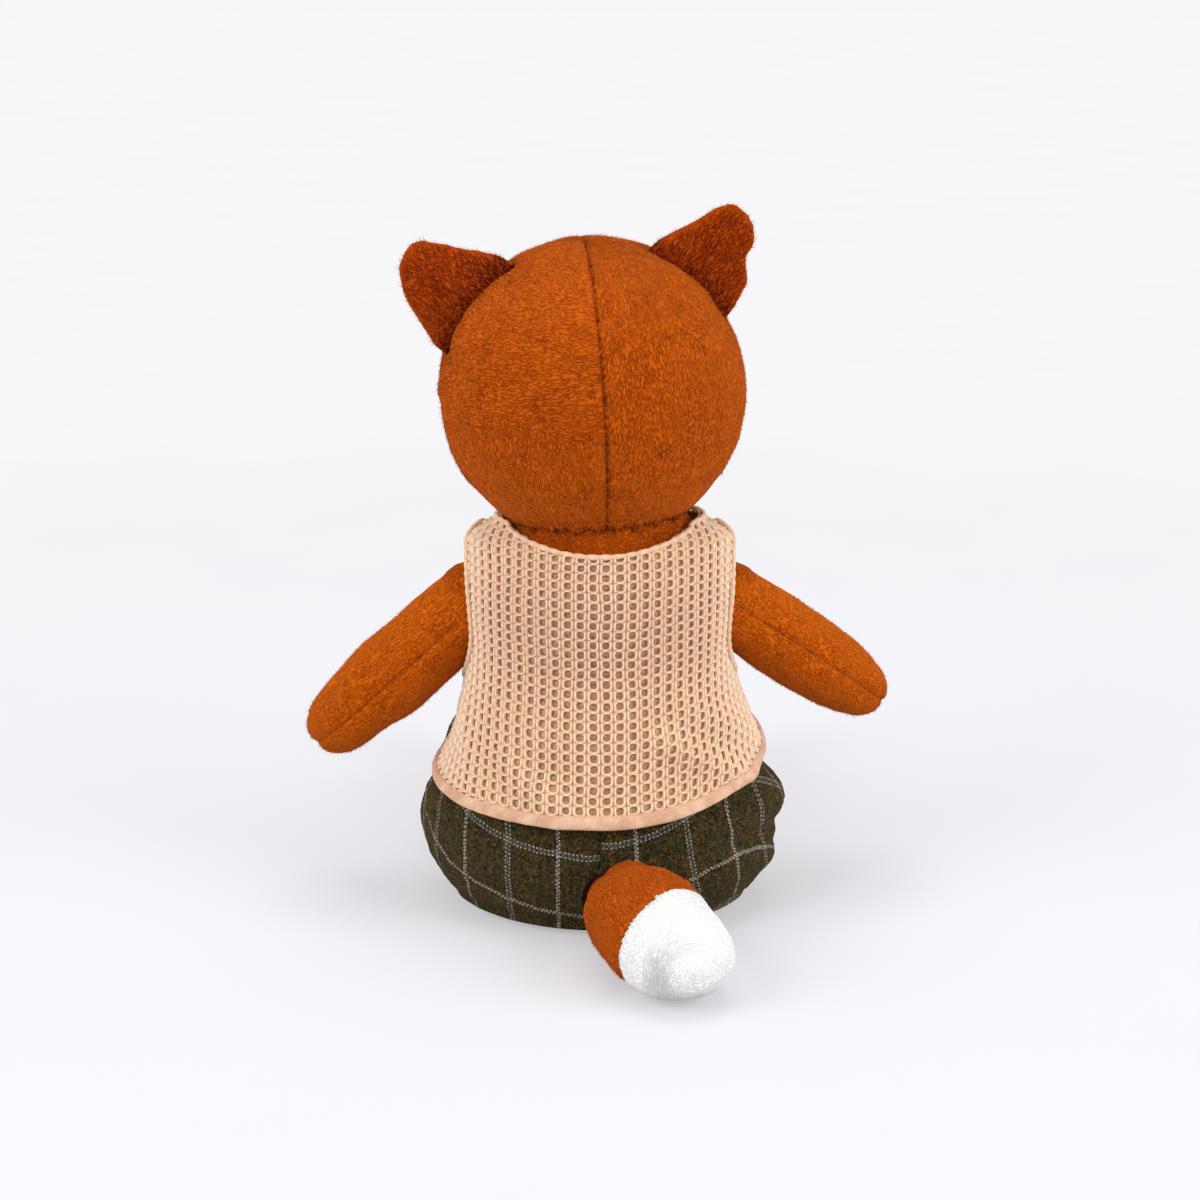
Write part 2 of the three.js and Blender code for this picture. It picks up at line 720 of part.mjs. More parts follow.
function headForm(inset, coarse = 1) {
  const skull = oval(
    skullCentre,
    skullRadius - inset,
    skullRadius * skullDepthShare - inset,
    skullRadius - inset,
    skullSides / coarse,
    skullRings / coarse,
  );
  const rings = snoutShares.map(([along, wide, tall]) => ({
    centre: new THREE.Vector3(0, -skullForward - along * (snoutReach - inset), neckToSkull - snoutDrop),
    across: new THREE.Vector3(Math.max(wide * skullRadius - inset, thinnestHalf), 0, 0),
    up: new THREE.Vector3(0, 0, Math.max(tall * skullRadius - inset, thinnestHalf)),
  }));
  const cheekRadius = skullRadius * cheekRadiusShare;
  const cheeks = [1, -1].map((side) =>
    oval(
      new THREE.Vector3(side * cheekOut, -skullForward - cheekForward, neckToSkull - cheekDrop),
      cheekRadius - inset,
      cheekRadius * cheekDepthShare - inset,
      cheekRadius * cheekHeightShare - inset,
      snoutSides / coarse,
      snoutSides / 2,
    ),
  );
  return skull.add(loft(rings, snoutSides / coarse)).add(cheeks[0]).add(cheeks[1]);
}

// How far forward the head's skin lies at a place on the face, in the head's frame.
function faceDepth(x, z) {
  const level = z - neckToSkull;
  const share = Math.sqrt(Math.max(1 - (x * x + level * level) / (skullRadius * skullRadius), 0));
  return -skullForward - skullRadius * skullDepthShare * share;
}

// The space under the line that runs from the snout up and out over each cheek, raised by a gap.
function underFaceLine(gap) {
  const slope = Math.atan(faceLineRiseShare);
  const line = neckToSkull - faceLineDrop + gap;
  const wedges = [1, -1].map((side) => {
    const tilt = new THREE.Matrix4().makeRotationY(-side * slope);
    tilt.premultiply(new THREE.Matrix4().makeTranslation(0, 0, line));
    const low = new THREE.Vector3(side > 0 ? 0 : -reach, -reach, -reach);
    const high = new THREE.Vector3(side > 0 ? reach : 0, reach, 0);
    return block(low, high, tilt);
  });
  return wedges[0].add(wedges[1]).add(slab(-reach, line - seamGap));
}

// A safety eye: a domed front on a shank that passes in through the skin, turned about its axis.
function eyeSolid() {
  const dome = eyeDomeShares.map(([out, along]) => [out * eyeRadius, seamGap + along * eyeDomeHeight]);
  const stem = [
    [0, -eyeShankLength],
    [eyeShankRadius, -eyeShankLength],
    [eyeShankRadius, seamGap],
  ];
  const profile = [...stem, ...dome].map(([out, along]) => new THREE.Vector2(out, along));
  return toSolid(new THREE.LatheGeometry(profile, discSides));
}

// The place of an eye on the skin of the face, with +Y pointing out of it.
function eyeGroup(side) {
  const rise = neckToSkull + eyeRise;
  const depth = faceDepth(eyeOut, rise);
  const outward = new THREE.Vector3(side * eyeOut, depth + skullForward, eyeRise).normalize();
  const group = new THREE.Group();
  group.position.set(side * eyeOut, depth, rise);
  group.quaternion.setFromUnitVectors(new THREE.Vector3(0, 1, 0), outward);
  group.updateMatrix();
  return group;
}

// Adds the eyes to the head and gives back what their shanks and washers clear from it.
function makeEyes(head) {
  const holeRadius = eyeShankRadius + eyeShankClearance;
  const shankHole = new THREE.CylinderGeometry(holeRadius, holeRadius, eyeShankLength * 3, discSides);
  const disc = new THREE.CylinderGeometry(washerRadius, washerRadius, washerThickness, discSides);
  const washer = toSolid(disc).subtract(toSolid(shankHole));
  const pocketRadius = washerRadius + seamGap;
  const pocket = new THREE.CylinderGeometry(pocketRadius, pocketRadius, eyeShankLength * 2, discSides);
  const pocketSeat = eyeShankLength - washerSeat - washerThickness - seamGap;
  const eye = eyeSolid();
  const cutters = { shanks: [], pockets: [] };
  for (const [name, side] of leftAndRight) {
    const group = eyeGroup(side);
    const washerMesh = toMesh(`eye_washer_${name}`, washer, washerWhite);
    washerMesh.position.y = -(washerSeat + washerThickness / 2);
    group.add(toMesh(`eye_${name}`, eye, blackGloss), washerMesh);
    head.add(group);
    const shank = toSolid(shankHole, group.matrix);
    const pocketPlace = group.matrix.clone().multiply(new THREE.Matrix4().makeTranslation(0, pocketSeat, 0));
    cutters.shanks.push(shank);
    cutters.pockets.push(toSolid(pocket, pocketPlace), shank);
  }
  return cutters;
}

// The stitched nose pad, flat behind where it is sewn to the end of the snout.
function makeNose() {
  const behind = block(
    new THREE.Vector3(-noseHalfWidth * 2, noseSeat, -noseHalfHeight * 2),
    new THREE.Vector3(noseHalfWidth * 2, noseHalfDepth * 2, noseHalfHeight * 2),
  );
  const pad = oval(origin, noseHalfWidth, noseHalfDepth, noseHalfHeight).subtract(behind);
  const nose = toMesh("nose", pad, noseBlack);
  nose.position.set(0, -skullForward - snoutReach - seamGap - noseSeat, neckToSkull - snoutDrop + noseRise);
  return nose;
}

function makeEar(name, side, angle, lean) {
  const group = new THREE.Group();
  const chord = Math.sqrt(skullRadius * skullRadius - earHalfBase * earHalfBase);
  group.position.set(
    side * chord * Math.sin(angle),
    -skullForward - earSeamForward,
    neckToSkull + chord * Math.cos(angle),
  );
  group.rotation.set(lean, side * angle, 0, "YXZ");
  group.updateMatrix();
  const rings = earShares.map(([rise, wide, thick]) => ({
    centre: new THREE.Vector3(0, 0, rise * earLength),
    across: new THREE.Vector3(wide * earHalfBase, 0, 0),
    up: new THREE.Vector3(0, thick * earHalfThickness, 0),
  }));
  const whole = loft(rings, earSides).subtract(clearSkull(group.matrix.clone().invert()));
  group.add(toMesh(`${name}_back`, whole.intersect(halfSpace("y", 1, seamGap / 2)), foxOrange));
  group.add(toMesh(`${name}_lining`, whole.intersect(halfSpace("y", -1, -seamGap / 2)), cream));
  return group;
}

// The head's skin in its six sewn panels.
function headPanels(skin) {
  const seamY = -skullForward - earSeamForward;
  const back = skin.intersect(halfSpace("y", 1, seamY + seamGap / 2));
  const fore = skin.intersect(halfSpace("y", -1, seamY - seamGap / 2));
  const faceTop = fore.subtract(underFaceLine(seamGap));
  const faceLow = fore.intersect(underFaceLine(0));
  return leftAndRight.flatMap(([name, side]) => {
    const half = halfSpace("x", side, (side * seamGap) / 2);
    return [
      toMesh(`head_back_${name}`, back.intersect(half), foxOrange),
      toMesh(`face_${name}`, faceTop.intersect(half), foxOrange),
      toMesh(`cheek_${name}`, faceLow.intersect(half), cream),
    ];
  });
}

function makeHead() {
  const head = new THREE.Group();
  head.position.copy(neckPivot);
  head.quaternion.setFromRotationMatrix(headRest());
  const neckHollow = ball(origin, neckBallRadius + swingGap, torsoSides, neckRings);
  const { shanks, pockets } = makeEyes(head);
  const skin = cutAll(headForm(0).subtract(headForm(plushThickness)), [neckHollow, ...shanks]);
  const filling = cutAll(headForm(plushThickness + seamGap, 2), [neckHollow, ...pockets]);
  head.add(...headPanels(skin), toMesh("head_stuffing", filling, fibreWhite), makeNose());
  head.add(makeEar("ear_left", 1, leftEarAngle, leftEarLean));
  head.add(makeEar("ear_right", -1, rightEarAngle, rightEarLean));
  return head;
}

function makeNeck() {
  const neck = new THREE.Group();
  neck.position.copy(neckPivot);
  const ringRadius = neckOpeningRadius - neckThreadRadius - neckThreadGap;
  const thread = toSolid(new THREE.TorusGeometry(ringRadius, neckThreadRadius, threadSides, threadSegments));
  const wadRadius = ringRadius - neckThreadRadius - seamGap;
  const stalkTop = neckBallRadius - plushThickness;
  const stalk = new THREE.CylinderGeometry(neckStalkRadius, neckStalkRadius, stalkTop, discSides);
  const upright = new THREE.Matrix4().makeRotationX(Math.PI / 2);
  upright.premultiply(new THREE.Matrix4().makeTranslation(0, 0, stalkTop / 2));
  const wad = ball(origin, wadRadius).add(toSolid(stalk, upright));
  neck.add(toMesh("neck_thread", thread, threadBrown));
  neck.add(toMesh("neck_stuffing", wad, fibreWhite));
  return neck;
}

const fox = new THREE.Group();
fox.add(...makeTorso(), ...makeShortsSeat(), ...makeVest(), ...makeButtons());
fox.add(makeNeck(), makeHead());
fox.add(makeArm("arm_left", 1, leftArmDrop, leftArmForward));
fox.add(makeArm("arm_right", -1, rightArmDrop, rightArmForward));
for (const [name, side] of leftAndRight) {
  const leg = makeLeg(`leg_${name}`, side);
  leg.add(makeShortsLeg(`shorts_leg_${name}`, side, leg));
  fox.add(leg);
}
fox.add(makeTail());

export default fox;
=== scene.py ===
"""A seated plush fox in a knitted vest and tweed shorts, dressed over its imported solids."""

import json
import math

import bpy
import numpy as np
from bpy.props import FloatProperty, FloatVectorProperty, PointerProperty
from mathutils import Matrix, Vector, kdtree


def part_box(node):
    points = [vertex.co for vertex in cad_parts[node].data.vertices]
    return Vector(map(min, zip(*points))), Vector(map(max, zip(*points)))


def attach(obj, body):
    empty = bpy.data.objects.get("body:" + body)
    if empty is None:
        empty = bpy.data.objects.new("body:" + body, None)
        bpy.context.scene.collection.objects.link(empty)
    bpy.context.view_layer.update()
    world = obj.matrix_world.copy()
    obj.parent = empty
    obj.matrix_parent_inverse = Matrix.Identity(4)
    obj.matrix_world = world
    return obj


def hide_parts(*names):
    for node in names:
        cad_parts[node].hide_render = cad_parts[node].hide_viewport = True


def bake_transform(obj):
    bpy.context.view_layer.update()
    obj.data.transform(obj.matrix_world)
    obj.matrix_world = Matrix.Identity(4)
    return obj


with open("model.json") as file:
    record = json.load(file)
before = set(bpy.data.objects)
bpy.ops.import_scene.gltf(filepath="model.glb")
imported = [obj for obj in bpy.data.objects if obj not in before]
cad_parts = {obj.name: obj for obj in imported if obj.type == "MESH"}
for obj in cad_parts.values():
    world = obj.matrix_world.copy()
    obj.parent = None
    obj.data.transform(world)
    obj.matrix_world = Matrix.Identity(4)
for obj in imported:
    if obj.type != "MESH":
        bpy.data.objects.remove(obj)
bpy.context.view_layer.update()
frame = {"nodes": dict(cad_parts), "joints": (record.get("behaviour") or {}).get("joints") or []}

MM = 0.001
X_AXIS, Y_AXIS, Z_AXIS = np.eye(3)

bl_info = {
    "name": "Plush fox",
    "version": (1, 0, 0),
    "blender": (4, 5, 0),
    "location": "View3D > Sidebar > Fox",
    "description": "Makes a plush fox in a knitted vest and tweed shorts round its packed solids",
    "category": "Add Mesh",
}


def tint(code):
    """The linear colour of a six-figure hex code."""
    shares = [int(code[i : i + 2], 16) / 255 for i in (1, 3, 5)]
    return [c / 12.92 if c <= 0.04045 else ((c + 0.055) / 1.055) ** 2.4 for c in shares]


def length(name, description, millimetres):
    return FloatProperty(
        name=name,
        description=description,
        default=millimetres * MM,
        min=0.0,
        precision=5,
        subtype="DISTANCE",
        unit="LENGTH",
    )


def colour(name, description, code):
    return FloatVectorProperty(
        name=name,
        description=description,
        default=tint(code),
        min=0.0,
        max=1.0,
        size=3,
        subtype="COLOR",
    )


class FoxSizes(bpy.types.PropertyGroup):
    """Sizes of the fabrics, in metres."""

    skin: length("Plush backing", "Thickness of a sewn plush panel", 1.2)
    pile: length("Pile relief", "How far tufts of pile stand above the gaps between them", 0.24)
    seam_depth: length("Seam depth", "How far a seam draws the plush in", 0.7)
    seam_width: length("Seam width", "Half the width of the dip along a seam", 0.75)
    rib_pitch: length("Rib pitch", "From one rib of the knit to the next", 3.15)
    row_pitch: length("Row pitch", "From one row of the knit to the next", 2.28)
    yarn: length("Knit thickness", "From the back of the knit to the crest of its ribs", 1.25)
    pane: length("Pane width", "From one upright line of the tweed's check to the next", 12.5)
    pane_rise: length("Pane height", "From one level line of the tweed's check to the next", 16.0)
    stitch: length("Stitch pitch", "From one stitch of the head's back seam to the next", 2.4)


class FoxColours(bpy.types.PropertyGroup):
    """Colours of the fabrics and trims."""

    plush: colour("Plush", "Fox orange pile", "#aa4705")
    # plush_deep also gives the colour of the painted shade along the seams
    plush_deep: colour("Plush shade", "The pile's roots and gaps", "#5c1c02")
    plush_light: colour("Plush light", "The pile's brushed tips", "#bb560a")
    white: colour("White plush", "Tail tip, cheeks and ear fronts", "#d4d3d1")
    yarn: colour("Yarn", "The vest's knitted yarn", "#dfb996")
    # yarn_deep is the colour of the painted shade between the knit's ribs, and of its darker fuzz
    yarn_deep: colour("Yarn shade", "The yarn between its ribs", "#d8aa80")
    lining: colour("Lining", "The fine cloth behind the knit", "#d9ad86")
    binding: colour("Binding", "The bound hem of the vest", "#cfa080")
    tweed: colour("Tweed", "The ground of the shorts", "#2a301f")
    tweed_warm: colour("Tweed flecks", "Brown flecks in the shorts", "#6b4620")
    pane_pale: colour("Pale line", "Cream threads of the check", "#cfc4b6")
    pane_blue: colour("Blue line", "Blue threads of the check", "#5d7690")


# Numbers and noise


def share_table(rows, at, column):
    """A column of a table of [at, value...] rows, read smoothly at many places."""
    rows = np.array(rows, float)
    x, y = rows[:, 0], rows[:, column]
    slope = np.gradient(y, x)
    at = np.clip(np.asarray(at, float), x[0], x[-1])
    i = np.clip(np.searchsorted(x, at, side="right") - 1, 0, len(x) - 2)
    span = x[i + 1] - x[i]
    t = (at - x[i]) / span
    low = (1 + 2 * t) * (1 - t) ** 2 * y[i] + t * (1 - t) ** 2 * span * slope[i]
    high = t * t * (3 - 2 * t) * y[i + 1] + t * t * (t - 1) * span * slope[i + 1]
    return low + high


def ease(start, end, at):
    """0 before start, 1 after end and smooth between."""
    t = np.clip((np.asarray(at, float) - start) / (end - start), 0, 1)
    return t * t * (3 - 2 * t)


def bell(at, width):
    return np.exp(-((np.asarray(at, float) / width) ** 2))


def lattice(points, size, seed):
    """Smooth noise from -1 to 1 at many points, the same on every run."""
    q = np.asarray(points, float) / size
    cell = np.floor(q).astype(np.int64)
    f = q - cell
    f = f * f * (3 - 2 * f)
    total = np.zeros(len(q))
    for corner in range(8):
        step = [corner >> k & 1 for k in range(3)]
        key = seed * 374761393
        for k, prime in enumerate((73856093, 19349663, 83492791)):
            key = key ^ ((cell[:, k] + step[k]) * prime)
        key = (key ^ (key >> 13)) * 1274126177 & 0xFFFFFFFF
        key = (key ^ (key >> 15)) * 668265263 & 0xFFFFFFFF
        value = ((key ^ (key >> 16)) & 0xFFFF) / 32767.5 - 1
        weight = np.ones(len(q))
        for k in range(3):
            weight = weight * (f[:, k] if step[k] else 1 - f[:, k])
        total += value * weight
    return total


def turn(axis, degrees):
    return np.array(Matrix.Rotation(math.radians(degrees), 3, axis), float)


# Meshes in numbers: points in millimetres and faces of four corners, the last -1 for a triangle


def grid_faces(rows, columns, closed):
    """Faces of a grid of rows by columns, closed round its columns or open."""
    last = columns if closed else columns - 1
    r, c = np.meshgrid(np.arange(rows - 1), np.arange(last), indexing="ij")
    r, c = r.ravel(), c.ravel()
    n = (c + 1) % columns
    return np.stack([r * columns + c, r * columns + n, (r + 1) * columns + n, (r + 1) * columns + c], axis=1)


def capped(grid):
    """Points and faces of a tube of rings, with a fan over each end."""
    rows, columns = grid.shape[:2]
    points = np.concatenate([grid.reshape(-1, 3), grid[0].mean(0)[None], grid[-1].mean(0)[None]])
    c = np.arange(columns)
    n = (c + 1) % columns
    none = np.full(columns, -1)
    first = np.stack([n, c, np.full(columns, rows * columns), none], axis=1)
    top = (rows - 1) * columns
    last = np.stack([top + c, top + n, np.full(columns, rows * columns + 1), none], axis=1)
    return points, np.concatenate([grid_faces(rows, columns, True), first, last])


def corner_triangles(faces):
    """The faces as triangles."""
    four = faces[:, 3] >= 0
    return np.concatenate([faces[:, :3], faces[four][:, [0, 2, 3]]])


def normals_of(points, faces):
    tri = corner_triangles(faces)
    a, b, c = points[tri[:, 0]], points[tri[:, 1]], points[tri[:, 2]]
    face = np.cross(b - a, c - a)
    total = np.zeros_like(points)
    for k in range(3):
        np.add.at(total, tri[:, k], face)
    return total / np.maximum(np.linalg.norm(total, axis=1, keepdims=True), 1e-12)


def border(faces):
    """The directed edges that only one face has."""
    pairs = []
    for face_size, kept in ((4, faces[faces[:, 3] >= 0]), (3, faces[faces[:, 3] < 0])):
        for k in range(face_size):
            pairs.append(np.stack([kept[:, k], kept[:, (k + 1) % face_size]], axis=1))
    edges = np.concatenate(pairs)
    known = {tuple(e) for e in edges.tolist()}
    return np.array([e for e in edges.tolist() if (e[1], e[0]) not in known], int).reshape(-1, 2)


def turned_over(faces):
    """The faces seen from their other side."""
    return np.where(faces[:, 3:] >= 0, faces[:, ::-1], faces[:, [2, 1, 0, 3]])


def thickened(points, faces, thickness, normals):
    """A closed shell: the faces, a copy of them set in by a thickness, and a rim along open edges."""
    count = len(points)
    inner = turned_over(faces)
    inner[inner >= 0] += count
    edge = border(faces)
    rim = np.stack([edge[:, 1], edge[:, 0], edge[:, 0] + count, edge[:, 1] + count], axis=1)
    return np.concatenate([points, points - normals * thickness]), np.concatenate([faces, inner, rim])


def kept_faces(points, faces, keep, *layers):
    """Only some of the faces, with the points that they use."""
    faces = faces[keep]
    used = np.unique(faces[faces >= 0])
    number = np.full(len(points) + 1, -1)
    number[used] = np.arange(len(used))
    return (points[used], number[faces], *[layer[used] for layer in layers])


def mesh_of(name, points, faces):
    """A Blender mesh in metres of points in millimetres."""
    mesh = bpy.data.meshes.new(name)
    sizes = np.where(faces[:, 3] >= 0, 4, 3)
    loops = faces.ravel()
    loops = loops[loops >= 0]
    mesh.vertices.add(len(points))
    mesh.vertices.foreach_set("co", (points * MM).astype(np.float32).ravel())
    mesh.loops.add(len(loops))
    mesh.loops.foreach_set("vertex_index", loops.astype(np.int32))
    mesh.polygons.add(len(faces))
    mesh.polygons.foreach_set("loop_start", np.concatenate([[0], np.cumsum(sizes)[:-1]]).astype(np.int32))
    mesh.polygons.foreach_set("loop_total", sizes.astype(np.int32))
    mesh.polygons.foreach_set("use_smooth", np.ones(len(faces), bool))
    mesh.update(calc_edges=True)
    mesh.validate()
    return mesh


def numbers_of(mesh):
    """Points in millimetres and faces of a mesh whose faces have three or four corners."""
    co = np.zeros(len(mesh.vertices) * 3, np.float32)
    mesh.vertices.foreach_get("co", co)
    total = np.zeros(len(mesh.polygons), np.int32)
    mesh.polygons.foreach_get("loop_total", total)
    loops = np.zeros(len(mesh.loops), np.int32)
    mesh.loops.foreach_get("vertex_index", loops)
    start = np.concatenate([[0], np.cumsum(total)[:-1]])
    faces = np.full((len(total), 4), -1)
    for k in range(4):
        has = total > k
        faces[has, k] = loops[start[has] + k]
    return co.reshape(-1, 3).astype(float) / MM, faces


def linked(name, data):
    """A new object in the scene."""
    made = bpy.data.objects.new(name, data)
    bpy.context.scene.collection.objects.link(made)
    return made


def add_piece(name, points, faces, finish_name, body, replaced=(), slot=None, uv=None, **layers):
    """Makes an object of the numbers, with a finish, and lets it ride on a body."""
    mesh = mesh_of(name, points, faces)
    for key, values in layers.items():
        kind, field = ("FLOAT", "value") if values.ndim == 1 else ("FLOAT_VECTOR", "vector")
        attribute = mesh.attributes.new(key, kind, "POINT")
        attribute.data.foreach_set(field, values.astype(np.float32).ravel())
    if uv is not None:
        loops = np.zeros(len(mesh.loops), np.int32)
        mesh.loops.foreach_get("vertex_index", loops)
        mesh.uv_layers.new(name="cloth").data.foreach_set("uv", uv[loops].astype(np.float32).ravel())
    mesh.materials.append(finish(finish_name))
    piece = linked(name, mesh)
    if body:
        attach(piece, body)
    if replaced:
        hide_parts(*replaced)
    return piece


def joined(parts):
    """Several (points, faces) as one."""
    points, faces, base = [], [], 0
    for p, f in parts:
        shifted = f.copy()
        shifted[shifted >= 0] += base
        points.append(p)
        faces.append(shifted)
        base += len(p)
    return np.concatenate(points), np.concatenate(faces)


def evaluated(piece):
    """The numbers of a piece with its modifiers applied."""
    graph = bpy.context.evaluated_depsgraph_get()
    mesh = bpy.data.meshes.new_from_object(piece.evaluated_get(graph))
    made = numbers_of(mesh)
    bpy.data.meshes.remove(mesh)
    return made


def dropped(piece):
    mesh = piece.data
    bpy.data.objects.remove(piece)
    bpy.data.meshes.remove(mesh)


def merged_form(parts, voxel, smoothing, levels=1):
    """One even skin of squares round overlapping closed forms."""
    points, faces = joined(parts)
    piece = linked("form", mesh_of("form", points, faces))
    remesh = piece.modifiers.new("Remesh", "REMESH")
    remesh.mode = "VOXEL"
    remesh.voxel_size = voxel * MM
    smooth = piece.modifiers.new("Smooth", "SMOOTH")
    smooth.factor = 0.5
    smooth.iterations = smoothing
    if levels:
        finer = piece.modifiers.new("Finer", "SUBSURF")
        finer.levels = levels
    made = evaluated(piece)
    dropped(piece)
    return made


def stuffed(points, faces, held, cap, voxel=3.0):
    """Points of a stuffed skin after Cloth has blown up a coarse copy that is held along its seams."""
    rough, rough_faces = merged_form([(points, faces)], voxel, 2, 0)
    piece = linked("stuffing", mesh_of("stuffing", rough, rough_faces))
    scene = bpy.context.scene
    group = piece.vertex_groups.new(name="held")
    for index, weight in enumerate(held(rough)):
        group.add([index], float(weight), "REPLACE")
    cloth = piece.modifiers.new("Cloth", "CLOTH")
    settings = cloth.settings
    settings.quality = 6
    settings.mass = 0.3
    settings.use_pressure = True
    settings.uniform_pressure_force = STUFFING_PRESSURE
    settings.effector_weights.gravity = 0
    settings.vertex_group_mass = "held"
    settings.bending_stiffness = 0.05
    cloth.point_cache.frame_start, cloth.point_cache.frame_end = 1, STUFFING_FRAMES
    for frame_number in range(1, STUFFING_FRAMES + 1):
        scene.frame_set(frame_number)
    blown, _ = evaluated(piece)
    dropped(piece)
    scene.frame_set(1)
    moves = blown - rough
    reach = np.linalg.norm(moves, axis=1)
    moves *= (np.minimum(reach, cap) / np.maximum(reach, 1e-6))[:, None]
    # each point of the fine skin follows the nearest points of the coarse copy
    tree = kdtree.KDTree(len(rough))
    for index, place in enumerate(rough):
        tree.insert(place, index)
    tree.balance()
    shift = np.zeros_like(points)
    for index, place in enumerate(points):
        near = tree.find_n(place, 5)
        weights = np.array([1 / (0.4 + distance) ** 2 for _, _, distance in near])
        shift[index] = (moves[[k for _, k, _ in near]] * weights[:, None]).sum(0) / weights.sum()
    slack = SLACK * cap * normals_of(points, faces)
    return points + shift - slack * (np.linalg.norm(shift, axis=1) / cap)[:, None]


def oval(angle, power=2.0):
    """Across and up on a unit oval, which is squarer with a higher power."""
    c, s = np.cos(angle), np.sin(angle)
    bulge = (np.abs(c) ** power + np.abs(s) ** power) ** (-1 / power)
    return c * bulge, s * bulge


def even_turns(count):
    """Even angles round a full turn."""
    return 2 * math.pi * np.arange(count) / count


def circle(count):
    """Even points round a unit circle about Z."""
    angle = even_turns(count)
    return np.stack([np.cos(angle), np.sin(angle), angle * 0], axis=1)


def rings(centres, halves, columns, power=2.0, across=X_AXIS, up=Y_AXIS):
    """A grid of ovals: at each centre, halves along two directions, squarer with a higher power."""
    c, s = oval(even_turns(columns), power)
    out = c[None, :, None] * halves[:, 0][:, None, None] * across
    rise = s[None, :, None] * halves[:, 1][:, None, None] * up
    return centres[:, None, :] + out + rise


def ball(centre, halves, columns=48):
    """A closed oval round a centre."""
    polar = np.linspace(0.02, math.pi - 0.02, columns // 2)
    size = np.sin(polar)
    points, faces = capped(rings(np.outer(-np.cos(polar), Z_AXIS), np.stack([size, size], 1), columns))
    return points * np.array(halves, float) + np.array(centre, float), faces


# Finishes: each is a node material, made once

PLUSH_SHEEN = "#ff9040"


class Nodes:
    """A node tree while it is being put together."""

    def __init__(self, tree):
        self.tree = tree

    def node(self, kind, inputs=(), **settings):
        made = self.tree.nodes.new("ShaderNode" + kind)
        for key, value in settings.items():
            setattr(made, key, value)
        for key, value in dict(inputs).items():
            self.feed(made.inputs[key], value)
        return made

    def feed(self, socket, value):
        if isinstance(value, bpy.types.NodeSocket):
            self.tree.links.new(value, socket)
        elif isinstance(socket.default_value, float):
            socket.default_value = value
        elif len(socket.default_value) == 4 and len(value) == 3:
            socket.default_value = (*value, 1.0)
        else:
            socket.default_value = value

    def place(self, source=None):
        """Where on the surface, in metres: the object's own place, or a layer of its points."""
        if source is None:
            return self.node("TexCoord").outputs["Object"]
        return self.node("Attribute", attribute_name=source).outputs["Vector"]

    def layer(self, name):
        return self.node("Attribute", attribute_name=name).outputs["Fac"]

    def scaled(self, vector, factors):
        return self.node("VectorMath", {0: vector, 1: factors}, operation="MULTIPLY").outputs[0]

    def bent(self, vector, scale, detail, reach):
        """Places moved about by noise, by up to half a reach in metres."""
        noise = self.node("TexNoise", {"Vector": vector, "Scale": scale, "Detail": detail}).outputs["Color"]
        shift = self.node("VectorMath", {0: noise, 1: (0.5, 0.5, 0.5)}, operation="SUBTRACT").outputs[0]
        inputs = {0: shift, 1: (reach,) * 3, 2: vector}
        return self.node("VectorMath", inputs, operation="MULTIPLY_ADD").outputs[0]

    def noise(self, vector, size, detail=2.0, roughness=0.5, distortion=0.0):
        """Noise whose features are about a size in millimetres."""
        inputs = {
            "Vector": vector,
            "Scale": 1 / (size * MM),
            "Detail": detail,
            "Roughness": roughness,
            "Distortion": distortion,
        }
        return self.node("TexNoise", inputs).outputs["Fac"]

    def math(self, operation, a, b=0.0, c=0.0):
        return self.node("Math", {0: a, 1: b, 2: c}, operation=operation).outputs[0]

    def times(self, a, b):
        return self.math("MULTIPLY", a, b)

    def most(self, a, b):
        return self.math("MAXIMUM", a, b)

    def swayed(self, level, noise, amount):
        """A level moved up and down by noise."""
        return self.math("MULTIPLY_ADD", self.math("SUBTRACT", noise, 0.5), amount, level)

    def span(self, value, low, high, to_low=0.0, to_high=1.0):
        inputs = {"Value": value, "From Min": low, "From Max": high, "To Min": to_low, "To Max": to_high}
        return self.node("MapRange", inputs, clamp=True).outputs[0]

    def mix(self, share, a, b, blend="MIX"):
        made = self.node("Mix", data_type="RGBA", blend_type=blend)
        self.feed(made.inputs[0], share)
        self.feed(made.inputs[6], a)
        self.feed(made.inputs[7], b)
        return made.outputs[2]

    def mix_value(self, share, a, b):
        made = self.node("Mix", data_type="FLOAT")
        self.feed(made.inputs[0], share)
        self.feed(made.inputs[2], a)
        self.feed(made.inputs[3], b)
        return made.outputs[0]

    def seen(self):
        """1 for rays that show a thing, and 0 for rays that only light others."""
        ray = self.node("LightPath").outputs
        return self.most(ray["Is Camera Ray"], self.most(ray["Is Glossy Ray"], ray["Is Transmission Ray"]))


class Finish(Nodes):
    """A node material while it is being put together."""

    def __init__(self, name):
        self.material = bpy.data.materials.new(name)
        self.material.use_nodes = True
        super().__init__(self.material.node_tree)
        self.shader = self.tree.nodes["Principled BSDF"]

    def set(self, **values):
        for key, value in values.items():
            self.feed(self.shader.inputs[key.replace("_", " ")], value)

    def sheen(self, weight, roughness, colour):
        self.set(Sheen_Weight=weight, Sheen_Roughness=roughness, Sheen_Tint=colour)

    def relief(self, height, distance, strength):
        """Relief as deep as a distance in millimetres."""
        inputs = {"Height": height, "Distance": distance * MM, "Strength": strength}
        self.set(Normal=self.node("Bump", inputs).outputs[0])


def colours():
    return bpy.context.scene.fox_colours


def sizes():
    """The sizes in millimetres."""
    group = bpy.context.scene.fox_sizes
    return {key: getattr(group, key) / MM for key in FoxSizes.__annotations__}


def dyed(colour, share):
    """A colour whose red, green and blue are scaled."""
    return [float(v) for v in np.multiply(colour, share)]


def finish(name):
    """A material by name, made when first asked for."""
    return bpy.data.materials.get(name) or FINISHES[name](name)


